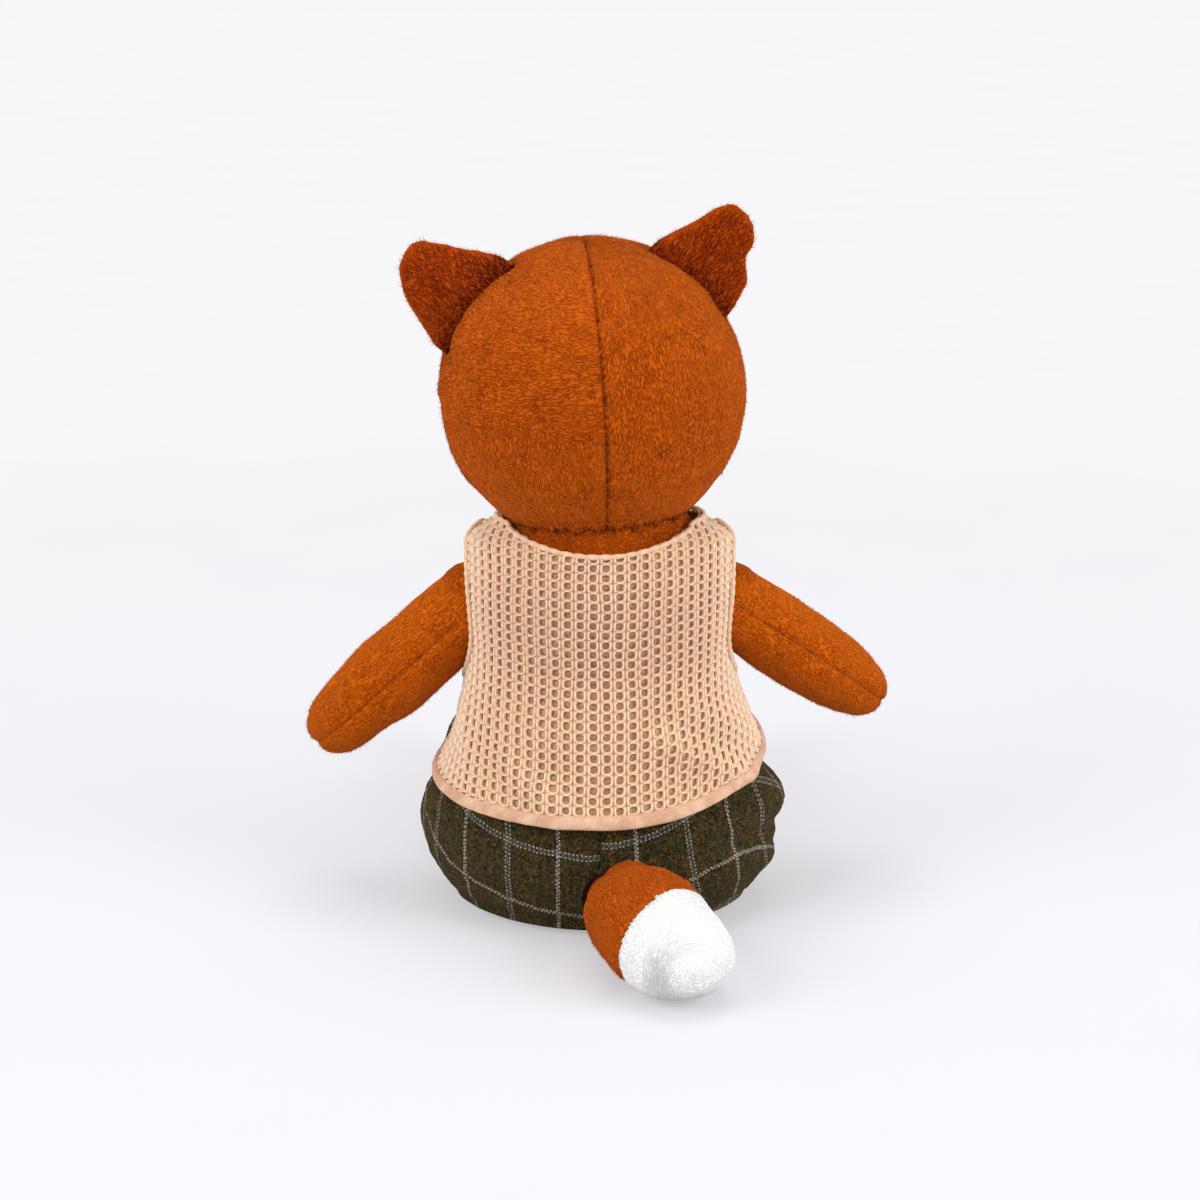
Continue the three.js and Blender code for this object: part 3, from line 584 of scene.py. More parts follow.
def strokes(made):
    """Short brushed strokes of pile: along Z, and across it where the swirl layer says."""
    bent = made.bent(made.place("nap"), 120.0, 1.0, 2.4 * MM)
    down = made.noise(made.scaled(bent, (1.0, 1.0, 0.3)), 0.5, 0.6, 0.5, 0.4)
    over = made.noise(made.scaled(bent, (0.28, 0.6, 1.0)), 0.5, 0.6, 0.5, 0.4)
    level = made.mix_value(made.layer("swirl"), down, over)
    ridge = made.math("ABSOLUTE", made.math("SUBTRACT", level, 0.5))
    return made.span(ridge, 0.0, 0.13)


def plush_finish(name, base, deep, light, sheen, sheen_weight, patches=0.2, relief=0.3):
    """Short brushed pile: dark between its strokes and pale on their tips, with painted shade along its
    seams.
    """
    made = Finish(name)
    stroke = strokes(made)
    place = made.place()
    broad = made.noise(place, 8.0, 2.0, 0.55, 1.0)
    fine = made.noise(place, 0.24, 1.5, 0.6)
    # the tuft layer: the pile is painted darker in the hollows between its tufts and paler on their tops,
    # painted shade and highlight, and the layer carries what each piece adds to it
    level = made.math("MULTIPLY_ADD", made.layer("tuft"), 0.08, stroke)
    level = made.swayed(made.swayed(level, fine, 0.5), broad, 2.2 * patches)
    tone = made.mix(made.span(level, -0.15, 0.42), deep, base)
    tone = made.mix(made.span(level, 0.5, 1.2), tone, light)
    # painted shade along the seams, in the stitch pits, round the eyes and at the ears' feet, broken up into
    # dots by noise
    line = made.span(made.layer("seam"), 0.0, 0.5, 0.55, 0.0)
    broken_up = made.span(made.noise(place, 1.6, 1.0), 0.44, 0.6, 0.1, 1.0)
    shade = made.mix(made.times(line, broken_up), (1.0, 1.0, 1.0), [v * 0.35 + 0.02 for v in deep])
    made.set(Base_Color=made.mix(1.0, tone, shade, "MULTIPLY"), Roughness=1.0, Specular_IOR_Level=0.05)
    made.sheen(sheen_weight, 0.35, sheen)
    made.relief(made.math("MULTIPLY_ADD", fine, 0.5, stroke), relief, 0.9)
    return made.material


def fox_plush(name):
    c = colours()
    return plush_finish(name, c.plush, c.plush_deep, c.plush_light, tint(PLUSH_SHEEN), 0.36)


def arm_plush(name):
    """The fox's plush painted lighter and yellower for the arms: painted light, for the side light that the
    arms catch.
    """
    c = colours()
    base, light = dyed(c.plush, (1.22, 1.36, 0.9)), dyed(c.plush_light, (1.12, 1.2, 0.9))
    return plush_finish(name, base, c.plush_deep, light, tint(PLUSH_SHEEN), 0.4)


def ear_plush(name):
    """The fox's plush where it is short and dark."""
    c = colours()
    base, light = dyed(c.plush, (0.62, 0.42, 0.6)), dyed(c.plush_light, (0.84, 0.64, 0.6))
    return plush_finish(name, base, dyed(c.plush_deep, 0.55), light, tint("#ff6010"), 0.2)


def white_plush(name):
    c = colours()
    light = (0.97, 0.97, 0.97)
    return plush_finish(name, c.white, dyed(c.white, 0.96), light, (1.0, 1.0, 1.0), 0.2, 0.05, 0.1)


def yarn_finish(name):
    """Soft beige yarn with fine twisted fibres: painted highlight makes its crests pale and painted shade
    makes it deeper between the ribs.
    """
    made = Finish(name)
    c = colours()
    fibre = made.noise(made.scaled(made.place(), (1.0, 1.0, 0.35)), 0.28, 3.0, 0.65, 0.8)
    fuzz = made.noise(made.place(), 0.7, 3.0, 0.6)
    # painted shade between the ribs and a painted highlight on the crests, set by how high the yarn stands
    level = made.swayed(made.layer("crest"), fibre, 0.5)
    tone = made.mix(made.span(level, -0.1, 0.4), c.yarn_deep, c.yarn)
    tone = made.mix(made.span(level, 0.6, 0.95), tone, tint("#f5dcc4"))
    tone = made.mix(made.span(fuzz, 0.45, 0.75, 0.0, 0.2), tone, c.yarn_deep)
    made.set(Base_Color=tone, Roughness=0.88, Specular_IOR_Level=0.2)
    made.sheen(0.35, 0.4, tint("#fff0e0"))
    sway = made.node("SeparateXYZ", {0: made.place("cell")}).outputs
    twist = made.math("SINE", made.math("MULTIPLY_ADD", sway[1], 9000.0, made.times(sway[0], 5000.0)))
    made.relief(made.math("MULTIPLY_ADD", twist, 0.12, fibre), 0.22, 0.7)
    return made.material


def lining_finish(name):
    """Fine tricot: tiny loops with dark specks between them."""
    made = Finish(name)
    c = colours()
    place = made.place()
    inputs = {"Vector": made.scaled(place, (1.0, 1.0, 0.8)), "Scale": 2400.0}
    loops = made.node("TexVoronoi", inputs).outputs[0]
    cloud = made.noise(place, 2.2, 2.0)
    tone = made.mix(made.span(loops, 0.25, 0.75), c.lining, dyed(c.lining, 0.5))
    tone = made.mix(made.span(cloud, 0.4, 0.7, 0.0, 0.4), tone, [min(1, v * 1.3) for v in c.lining])
    made.set(Base_Color=tone, Roughness=0.85, Specular_IOR_Level=0.25)
    made.relief(made.math("SUBTRACT", 1.0, loops), 0.12, 0.8)
    return made.material


def binding_finish(name):
    """Brushed cotton tape: a faint grain along it and short nap."""
    made = Finish(name)
    c = colours()
    place = made.place()
    grain = made.noise(place, 0.32, 3.0, 0.7)
    cloud = made.noise(place, 4.0, 2.0)
    tone = made.mix(made.span(grain, 0.35, 0.65), dyed(c.binding, 0.68), c.binding)
    tone = made.mix(made.span(cloud, 0.4, 0.7, 0.0, 0.3), tone, tint("#f6dcc6"))
    made.set(Base_Color=tone, Roughness=0.8, Specular_IOR_Level=0.25)
    made.sheen(0.25, 0.4, tint("#fff0e4"))
    made.relief(grain, 0.12, 0.6)
    return made.material


def thread_line(made, across, along, offset, width, beat):
    """One dotted thread: near a line at an offset, and broken up along it."""
    near = made.math("ABSOLUTE", made.math("SUBTRACT", across, offset))
    dots = made.span(made.math("SINE", made.times(along, 2 * math.pi / beat)), -0.55, 0.15)
    return made.times(made.span(near, width * 0.6, width, 1.0, 0.0), dots)


def pane_lines(made, across, along, pitch):
    """The masks of a direction's pale line and of its blue line, which take turns."""
    half = made.math("WRAP", across, pitch, -pitch)
    other = made.math("WRAP", made.math("ADD", across, pitch), pitch, -pitch)
    shifted = made.math("ADD", along, 0.45)
    beat = 0.95
    pale = made.most(
        thread_line(made, half, along, -0.2, 0.28, beat), thread_line(made, half, shifted, 0.28, 0.28, beat)
    )
    edge = made.most(
        thread_line(made, other, along, -0.55, 0.2, beat), thread_line(made, other, along, 0.55, 0.2, beat)
    )
    blue = thread_line(made, other, made.math("ADD", along, 0.4), 0.0, 0.3, 1.15)
    return made.most(pale, edge), blue


def tweed_finish(name):
    """Napped wool twill in dark green with brown flecks, under a check of pale and blue threads."""
    made = Finish(name)
    c = colours()
    s = sizes()
    cloth = made.bent(made.node("UVMap", uv_map="cloth").outputs[0], 260.0, 3.0, 0.9 * MM)
    split = made.node("SeparateXYZ", {0: made.scaled(cloth, (1 / MM,) * 3)}).outputs
    place = made.place()
    fleck = made.noise(place, 0.75, 3.0, 0.7)
    fleck_two = made.noise(made.scaled(place, (1.0, 1.0, 0.5)), 0.5, 3.0, 0.7)
    cloud = made.noise(place, 3.5, 3.0, 0.6)
    ochre = made.span(made.noise(place, 1.5, 3.0, 0.65, 0.6), 0.48, 0.66)
    ochre = made.times(ochre, made.span(fleck, 0.42, 0.55))
    warm = made.times(made.span(fleck_two, 0.5, 0.66), made.span(cloud, 0.35, 0.65, 0.15, 0.8))
    rust = made.span(made.noise(place, 0.6, 2.0, 0.6, 0.5), 0.61, 0.68, 0.0, 0.8)
    green = made.span(made.noise(place, 0.8, 2.0, 0.6, 0.7), 0.58, 0.68, 0.0, 0.7)
    pale_u, blue_u = pane_lines(made, split[0], split[1], s["pane"])
    pale_v, blue_v = pane_lines(made, split[1], split[0], s["pane_rise"])
    broken_up = made.span(made.noise(place, 0.55, 2.0, 0.7), 0.36, 0.62, 0.1, 0.85)
    pale = made.times(made.most(pale_u, pale_v), broken_up)
    blue = made.times(made.most(blue_u, blue_v), broken_up)
    tone = made.mix(made.span(fleck, 0.41, 0.58), dyed(c.tweed, 0.22), c.tweed)
    tone = made.mix(made.times(ochre, 0.75), tone, tint("#5a4a20"))
    tone = made.mix(warm, tone, c.tweed_warm)
    tone = made.mix(rust, tone, tint("#94581c"))
    tone = made.mix(green, tone, tint("#2c4a38"))
    tone = made.mix(made.times(blue, 0.8), tone, c.pane_blue)
    tone = made.mix(pale, tone, c.pane_pale)
    made.set(Base_Color=tone, Roughness=1.0, Specular_IOR_Level=0.05)
    made.sheen(0.12, 0.5, tint("#b09a70"))
    hairs = made.math("MULTIPLY_ADD", pale, 0.5, made.noise(place, 0.3, 3.0, 0.75))
    made.relief(made.math("MULTIPLY_ADD", fleck, 0.6, hairs), 0.45, 0.9)
    return made.material


def plain_finish(name, code, roughness, grain, relief, vary=0.12, specular=0.3, **more):
    """A small piece's finish: one colour with grain and slight relief."""
    made = Finish(name)
    base = tint(code)
    noise = made.noise(made.place(), grain, 3.0, 0.6)
    light = [min(1.0, v * (1 + vary) + vary * 0.02) for v in base]
    tone = made.mix(made.span(noise, 0.3, 0.7), dyed(base, 1 - vary * 2), light)
    made.set(Base_Color=tone, Specular_IOR_Level=specular)
    made.set(Roughness=made.span(noise, 0.2, 0.8, roughness * 0.9, min(1.0, roughness * 1.1)), **more)
    made.relief(noise, relief, 0.6)
    return made.material


def gloss_finish(name):
    """A black eye under a clear coat."""
    coat = {"Coat_Weight": 0.6, "Coat_Roughness": 0.03}
    return plain_finish(name, "#0b0808", 0.06, 3.0, 0.005, 0.3, 0.6, **coat)


def wood_finish(name):
    """Turned wood with rings of grain."""
    made = Finish(name)
    place = made.scaled(made.place(), (1.0, 1.0, 0.22))
    ring = made.noise(place, 0.8, 4.0, 0.6, 1.2)
    tone = made.mix(made.span(ring, 0.3, 0.7), tint("#5c3417"), tint("#a06a3c"))
    made.set(Base_Color=tone, Roughness=made.span(ring, 0.2, 0.8, 0.35, 0.5))
    made.relief(ring, 0.06, 0.5)
    return made.material


def satin_finish(name):
    """A nose worked in satin stitch: thick thread laid side by side."""
    made = Finish(name)
    place = made.place()
    across = made.node("SeparateXYZ", {0: place}).outputs[0]
    wobble = made.math("MULTIPLY_ADD", made.noise(place, 1.6, 1.0), 0.4 * MM, across)
    lay = made.math("SINE", made.times(wobble, 2 * math.pi / (0.55 * MM)))
    tone = made.mix(made.span(lay, -1.0, 1.0), tint("#0c0a09"), tint("#2c2422"))
    made.set(Base_Color=tone, Roughness=0.5, Specular_IOR_Level=0.4)
    made.sheen(0.2, 0.4, tint("#b8a89c"))
    made.relief(lay, 0.12, 0.7)
    return made.material


FINISHES = {
    "fox_plush": fox_plush,
    "ear_plush": ear_plush,
    "arm_plush": arm_plush,
    "pale_plush": white_plush,
    "yarn": yarn_finish,
    "tricot_lining": lining_finish,
    "brushed_binding": binding_finish,
    "checked_tweed": tweed_finish,
    "gloss_eye": gloss_finish,
    "satin_nose": satin_finish,
    "wadding": lambda n: plain_finish(n, "#f4f3ef", 1.0, 0.6, 0.5, 0.06),
    "ribbed_elastic": lambda n: plain_finish(n, "#e9e6e0", 0.8, 0.4, 0.2, 0.1),
    "moulded_washer": lambda n: plain_finish(n, "#d9d9d6", 0.4, 1.5, 0.02, 0.03),
    "cotton_pouch": lambda n: plain_finish(n, "#d8d0c2", 0.9, 0.4, 0.15, 0.1),
    "button_wood": wood_finish,
    "seam_thread": lambda n: plain_finish(n, "#4e1f06", 0.9, 0.25, 0.1, 0.3),
}


# Places on the fox, in millimetres

JOINTS = {joint["name"]: joint for joint in frame["joints"]}
NECK = np.array([0.0, 0.0, 95.0])
HEAD_REST = turn("Z", 5) @ turn("Y", 3)
NECK_BALL, NECK_SOCKET = 22.0, 16.7
SKULL, SKULL_RADIUS = np.array([0.0, -3.0, 34.5]), 38
ARM_LENGTH, ARM_RADIUS, ARM_FLATNESS = 55.0, 11.2, 0.94
LEG_LENGTH, LEG_RADIUS = 79.0, 13.6
TAIL_LENGTH, TAIL_RADIUS, TAIL_FLATNESS = 49.0, 14.2, 0.8
LIMB_ROOT, TAIL_ROOT = 10.2, 9.4
# Half the width of a seam's allowance, which Cloth leaves in place
SEAM_HELD = 1.6
# From one point of a fine skin to the next
SKIN_STEP = 0.55
# The least height of what lies on the floor, and the voxels of a form that is merged from several
SEAT, FORM_VOXEL = 0.1, 1.15
# A distance at which a finish paints no seam shade
NO_SEAM = 9.0
STUFFING_PRESSURE = 4.0
STUFFING_FRAMES = 20
# How much of a stuffed skin's movement is taken back, so that it keeps its size
SLACK = 0.55
# How many loose fibres stand on a square millimetre of plush, and their length and radius in millimetres
FIBRES_PER_MM2 = 1.6
FIBRE_LENGTH = 1.05
FIBRE_RADIUS = 0.075
# The length of a finish's fibres as a share of the usual one
FIBRE_SHARES = {"ear_plush": 1.4, "pale_plush": 0.6}

TORSO_HEIGHT, HIP_HALF_WIDTH, HIP_HALF_DEPTH = 95.0, 43.5, 36.0
# Height, half-width and half-depth as shares of the three above
TORSO_SHARES = [
    [-0.01, 0.62, 0.68],
    [0.04, 0.8, 0.85],
    [0.11, 0.93, 0.955],
    [0.21, 1.0, 1.0],
    [0.3, 0.955, 0.965],
    [0.38, 0.85, 0.875],
    [0.475, 0.765, 0.79],
    [0.68, 0.705, 0.715],
    [0.95, 0.68, 0.665],
    [1.0, 0.625, 0.61],
    [1.035, 0.5, 0.5],
]
# Along the limb and out from its axis, as shares of its length and radius
ARM_SHARES = [[0.15, 0.95], [0.3, 0.985], [0.42, 1.0], [0.56, 0.98], [0.7, 0.92], [0.83, 0.83]]
ARM_SHARES += [[0.93, 0.68], [0.985, 0.42]]
LEG_SHARES = [[0.15, 0.78], [0.22, 0.9], [0.31, 0.98], [0.42, 1.0], [0.6, 0.91], [0.78, 0.86]]
LEG_SHARES += [[0.92, 0.78], [0.985, 0.5]]
TAIL_SHARES = [[0.09, 0.85], [0.15, 0.95], [0.23, 1.0], [0.38, 1.02], [0.5, 1.01], [0.66, 0.96]]
TAIL_SHARES += [[0.8, 0.84], [0.91, 0.64], [0.98, 0.36]]


def joint_place(name):
    return np.array(JOINTS[name]["pos_m"], float) / MM


def box_of(node):
    """A CAD node's low and high corners."""
    return [np.array(corner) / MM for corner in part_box(node)]


def direction_of(side_degrees, drop_degrees, toward, side=1):
    """A unit direction turned sideways from -Y or +Y and dropped."""
    s, d = math.radians(side_degrees), math.radians(drop_degrees)
    return np.array([side * math.sin(s) * math.cos(d), toward * math.cos(s) * math.cos(d), -math.sin(d)])


def limb_axes(along):
    """Columns across, up and along."""
    along = along / np.linalg.norm(along)
    across = np.cross([0.0, 0.0, 1.0], along)
    across /= np.linalg.norm(across)
    return np.stack([across, np.cross(along, across), along], axis=1)


def arm_direction(side, drop, forward):
    d, f = math.radians(drop), math.radians(forward)
    return np.array([side * math.cos(d) * math.cos(f), -math.cos(d) * math.sin(f), -math.sin(d)])


def run_along(points):
    """How far each point of a line lies from its start."""
    return np.concatenate([[0], np.cumsum(np.linalg.norm(np.diff(points, axis=0), axis=1))])


def leg_frame(name):
    """A leg's pivot and axes."""
    side = 1 if name == "leg_left" else -1
    return joint_place(f"{name}_swing"), limb_axes(direction_of(7, 2, -1, side))


def tail_frame():
    """The tail's pivot and axes."""
    return joint_place("tail_sway"), limb_axes(direction_of(-17, 3, 1))


def traced(points, step):
    """A smooth line through points, as even steps."""
    points = np.array(points, float)
    run = run_along(points)
    fine = np.linspace(0, run[-1], max(8, int(run[-1] / step) * 6))
    table = np.concatenate([run[:, None], points], axis=1)
    line = np.stack([share_table(table, fine, k + 1) for k in range(points.shape[1])], axis=1)
    far = run_along(line)
    return spaced(line, far, np.linspace(0, far[-1], max(4, round(far[-1] / step) + 1)))


def spaced(line, run, even):
    """The points of a line at given ways from its start."""
    return np.stack([np.interp(even, run, line[:, k]) for k in range(line.shape[1])], axis=1)


def halved(low, high, holds, steps=26):
    """Between which two values a test that holds at low stops holding on the way to high."""
    for _ in range(steps):
        middle = (low + high) / 2
        here = holds(middle)
        low, high = np.where(here, middle, low), np.where(here, high, middle)
    return low, high


# Plush


def piled(points, normals, nap, relief, seed):
    """Plush with its tufts: the moved points and each one's height from -1 to 1, which the finish paints as
    shade and highlight.
    """
    stroke = lattice(nap * (1, 1, 0.4), 1.15, seed)
    clump = lattice(nap * (1, 1, 0.65), 2.7, seed + 1)
    tuft = 0.6 * stroke + 0.4 * clump
    return points + normals * (relief * tuft)[:, None], tuft


def seam_layer(distance):
    """How far from a seam, for the finish to paint the seam's shade."""
    return np.minimum(np.abs(distance), NO_SEAM)


def lumped(points, normals, amount, seed, size=11.0):
    """Plush over wadding that isn't quite even."""
    return points + normals * (amount * lattice(points, size, seed))[:, None]


def seam_dip(distance, along, depth, width, seed):
    """How far plush moves near a seam: in along the line, puckered, and a little out beside it."""
    pucker = 1 + 0.28 * lattice(np.stack([along, along * 0, along * 0], 1), 2.2, seed)
    return -depth * bell(distance, width) * pucker + 0.28 * depth * bell(np.abs(distance) - 3.2, 1.9)


def pile_of(name, points, faces, combed, bare, finish_name, body, slot, seed, length, **layers):
    """Loose fibres that stand up out of a panel, each a closed three-sided spike combed one way."""
    corners = points[np.where(faces >= 0, faces, faces[:, :1])]
    across = np.cross(corners[:, 2] - corners[:, 0], corners[:, 3] - corners[:, 1])
    size = np.linalg.norm(across, axis=1)
    size[(faces[:, 3] < 0) | bare[faces[:, 0]]] = 0
    chance = np.random.default_rng(seed)
    count = int(size.sum() / 2 * FIBRES_PER_MM2)
    picked = np.searchsorted(np.cumsum(size) / size.sum(), (np.arange(count) + 0.5) / count)
    a, b = chance.random((2, count, 1))
    c = corners[picked]
    spot = (c[:, 0] * (1 - a) + c[:, 1] * a) * (1 - b) + (c[:, 3] * (1 - a) + c[:, 2] * a) * b
    normal = across[picked] / size[picked][:, None]
    flat = combed - (normal @ combed)[:, None] * normal
    flat /= np.maximum(np.linalg.norm(flat, axis=1), 0.2)[:, None]
    rise = 0.5 + 0.35 * chance.random((count, 1))
    ahead = normal * rise + flat * 0.9 + chance.normal(0, 0.28, (count, 3))
    ahead /= np.linalg.norm(ahead, axis=1, keepdims=True)
    side = np.cross(ahead, normal + (0.01, 0.02, 0.03))
    side /= np.linalg.norm(side, axis=1, keepdims=True)
    over = np.cross(ahead, side)
    reach = length * (0.65 + 0.6 * chance.random((count, 1)))
    foot = spot - normal * 0.15
    grid = [foot + FIBRE_RADIUS * (math.cos(t) * side + math.sin(t) * over) for t in (0, 2.094, 4.189)]
    grid.append(foot + ahead * reach)
    fibre = np.stack(grid, axis=1).reshape(-1, 3)
    shape = np.array([[0, 1, 3, -1], [1, 2, 3, -1], [2, 0, 3, -1], [2, 1, 0, -1]])
    step = 4 * np.arange(count)[:, None, None]
    spikes = np.where(shape < 0, -1, shape + step).reshape(-1, 4)
    root = faces[picked, 0]
    shared = {key: np.repeat(values[root], 4, axis=0) for key, values in layers.items()}
    # painted highlight: the fibres are painted paler than their panel, most at their tips, for the light that
    # shines through the fuzz
    shared["tuft"] = shared["tuft"] + np.tile([1.0, 1.0, 1.0, 6.0], count)
    add_piece(name, fibre, spikes, finish_name, body, (), slot, **shared)


def plush_pieces(
    points, faces, nap, layers, parts, body, combed=None, bare=None, thickness=None
):
    """Panels of one plush skin: layers are its tufts, swirl and distance from a seam, and each part is
    (name, finish, which faces, replaced nodes)."""
    normals = normals_of(points, faces)
    thickness = thickness or sizes()["skin"]
    if bare is None:
        bare = np.zeros(len(points), bool)
    layers = [nap * MM, *(np.broadcast_to(values, len(points)) for values in layers)]
    for number, (name, finish_name, keep, replaced) in enumerate(parts):
        p, f, n, bare_kept, *rest = kept_faces(points, faces, keep, normals, bare, *layers)
        slot = "white_plush" if finish_name == "pale_plush" else "orange_plush"
        shell, shell_faces = thickened(p, f, thickness, n)
        rooted = dict(zip(("nap", "tuft", "swirl", "seam"), rest))
        doubled = {key: np.concatenate([values, values]) for key, values in rooted.items()}
        piece = add_piece(name, shell, shell_faces, finish_name, body, replaced, slot, **doubled)
        if combed is not None:
            loose = "fox_plush" if finish_name == "ear_plush" else finish_name
            length = FIBRE_LENGTH * FIBRE_SHARES.get(finish_name, 1.0)
            seed = number + len(p)
            pile_of(f"{name}_pile", p, f, combed, bare_kept, loose, body, slot, seed, length, **rooted)


def wad(name, nodes, body, voxel, lumps, seed, sink, forms=None, finish_name="wadding", slot="filling"):
    """Wadding with the form of CAD solids: remeshed, smoothed and a little uneven."""
    forms = forms or [numbers_of(frame_mesh(node)) for node in nodes]
    points, faces = merged_form(forms, voxel, 3, 0)
    normals = normals_of(points, faces)
    rise = lumps * (lattice(points, 5.0, seed) - 0.6) - sink
    piece = add_piece(name, points + normals * rise[:, None], faces, finish_name, body, nodes, slot)
    return piece


def frame_mesh(node):
    return frame["nodes"][node].data


def limb_skin(line, flatness, columns):
    """A limb's closed skin, in its own frame, round a traced line of (along, out)."""
    halves = np.stack([line[:, 1], line[:, 1] * flatness], axis=1)
    return capped(rings(np.outer(line[:, 0], Z_AXIS), halves, columns))


def rounded_root(shares, length_mm, radius, root):
    """The (along, out) line of a limb whose root is a ball about its pivot, so that it turns in place."""
    start = [[-root * math.cos(a), max(0.3, root * math.sin(a))] for a in np.linspace(0.03, math.pi / 2, 6)]
    body = [[a * length_mm, out * radius] for a, out in shares]
    end = [[length_mm, radius * 0.22], [length_mm * 1.006, 0.3]]
    return traced([*start, *body, *end], SKIN_STEP)


def socketed(shares, length_mm, radius, root, step):
    """The (along, out) line of a limb that starts in a cup round its root ball."""
    cup = root + 0.75
    rim = min(shares[0][1] * radius * 0.9, cup * 0.93)
    turns = np.linspace(0.02, math.asin(rim / cup), 5)
    start = [[cup * math.cos(a), max(0.3, cup * math.sin(a))] for a in turns]
    body = [[a * length_mm, out * radius] for a, out in shares]
    end = [[length_mm * 1.003, radius * 0.16], [length_mm * 1.004, 0.3]]
    return np.concatenate([traced(start, step), traced([start[-1], *body, *end], step)[1:]])


def limb_nap(points, radius):
    """Nap coordinates of a limb in its own frame: round it, out of it and along it."""
    angle = np.arctan2(points[:, 1], points[:, 0])
    out = np.linalg.norm(points[:, :2], axis=1)
    wrapped = np.stack([np.abs(angle) * radius, out, points[:, 2]], axis=1)
    share = ease(0.3, 0.75, out / radius)[:, None]
    return wrapped * share + points * (1 - share)


def sewn(points, faces, nap, outside, lumps, lump_size, seam_run, seed):
    """A limb with lumps, tufts and a seam round it where y is 0: the moved points and the tufts' heights."""
    s = sizes()
    normals = normals_of(points, faces)
    moved = lumped(points, normals, lumps, seed, lump_size)
    dip = seam_dip(points[:, 1], seam_run, s["seam_depth"] * 0.8, s["seam_width"], seed)
    moved, tuft = piled(moved + normals * dip[:, None], normals, nap, s["pile"], seed)
    return points + (moved - points) * outside[:, None], tuft


def limb_parts(name, finish_name, upper):
    """A limb's panels above and below its seam."""
    return [
        (f"{name}_plush_{part}", finish_name, here, [f"{name}_panel_{part}"])
        for part, here in (("upper", upper), ("lower", ~upper))
    ]


def centre_of(points, faces):
    """The middle of each face."""
    last = np.where(faces[:, 3] >= 0, faces[:, 3], faces[:, 0])
    return (points[faces[:, 0]] + points[faces[:, 1]] + points[faces[:, 2]] + points[last]) / 4


def add_root(name, pivot, radius, seed):
    """The plush-covered ball that a limb turns on."""
    points, faces = ball(pivot, (radius,) * 3, 2 * round(math.pi * radius / 0.9))
    nap = points - pivot
    points, tuft = piled(points, normals_of(points, faces), nap, 0.25, seed)
    layers = {"tuft": tuft - 0.5, "swirl": np.full(len(points), 0.3)}
    layers |= {"nap": nap * MM, "seam": np.full(len(points), NO_SEAM)}
    add_piece(f"{name}_plush", points, faces, "fox_plush", name, [name], "orange_plush", **layers)


def make_arms():
    """Both arms, each of two panels, and the wads inside."""
    for name, side, drop, forward, seed in (("arm_left", 1, 42.5, 3, 11), ("arm_right", -1, 35, 27, 17)):
        pivot = joint_place(f"{name}_swing")
        axes = limb_axes(arm_direction(side, drop, forward))
        line = rounded_root(ARM_SHARES, ARM_LENGTH, ARM_RADIUS, 10.5)
        points, faces = limb_skin(line, ARM_FLATNESS, 2 * round(math.pi * ARM_RADIUS / SKIN_STEP))
        points = stuffed(points, faces, lambda p: (np.abs(p[:, 1]) < SEAM_HELD) | (p[:, 2] < 7), 1.3, 2.4)
        nap = limb_nap(points, ARM_RADIUS)
        points, tuft = sewn(points, faces, nap, ease(2, 8, points[:, 2]), 0.5, 10.0, points[:, 2], seed)
        layers = (tuft, 0.15, seam_layer(points[:, 1]) + 0.12)
        # the arms wear the plush painted lighter, painted light from the side
        parts = limb_parts(name, "arm_plush", centre_of(points, faces)[:, 1] > 0)
        world = points @ axes.T + pivot
        plush_pieces(world, faces, nap, layers, parts, name, axes[:, 2], points[:, 2] < 14)
        add_root(f"{name}_root", pivot, LIMB_ROOT, seed + 3)
        wad(f"{name}_wadding", [f"{name}_stuffing"], name, 1.6, 0.3, seed, 0.3)


def snapped(points, plane_distance, normal, near):
    """Points close to a plane laid on it."""
    close = np.abs(plane_distance) < near
    moved = points.copy()
    moved[close] -= plane_distance[close][:, None] * normal
    return moved


def make_legs():
    """Both legs, each with an upturned foot, and the wads inside."""
    for name, side, seed in (("leg_left", 1, 23), ("leg_right", -1, 29)):
        pivot, axes = leg_frame(name)
        leg = limb_skin(socketed(LEG_SHARES, LEG_LENGTH, LEG_RADIUS, LIMB_ROOT, 1.2), 1.0, 84)
        leg[0][:, 0] -= side * 1.6 * ease(20, 70, leg[0][:, 2])
        foot = (-2.2 * side, 5.5, 69)
        points, faces = merged_form([leg, ball(foot, (10.6, 17.6, 10.4), 72)], FORM_VOXEL, 6)
        points = stuffed(points, faces, lambda p: (np.abs(p[:, 1]) < SEAM_HELD) | (p[:, 2] < 44), 1.3, 3.0)
        outside = ease(11.4, 13.5, np.linalg.norm(points, axis=1))
        points = snapped(points, points[:, 1], Y_AXIS, 0.32)
        around = np.abs(np.arctan2(points[:, 1] - 4, points[:, 0])) * 14
        nap = np.stack([around, points[:, 0], points[:, 2]], 1)
        parts = limb_parts(name, "fox_plush", centre_of(points, faces)[:, 1] > 0)
        points, tuft = sewn(points, faces, nap, outside, 0.6, 11.0, points[:, 2] + points[:, 0], seed)
        world = points @ axes.T + pivot
        world[:, 2] = np.maximum(world[:, 2], SEAT)
        layers = (tuft, 0.15, seam_layer(points[:, 1]))
        plush_pieces(world, faces, nap, layers, parts, name, axes[:, 2], points[:, 2] < 42)
        filling = merged_form([leg, ball(foot, (8.6, 15.6, 8.6), 48)], 2.0, 4)
        filling = [(filling[0] - 1.9 * normals_of(*filling)) @ axes.T + pivot, filling[1]]
        wad(f"{name}_wadding", [f"{name}_stuffing"], name, 1.8, 0.3, seed, 0.3, [filling])
        wad(f"{name}_seat_wad", [f"{name}_root"], name, 1.4, 0.2, seed, 0.1)


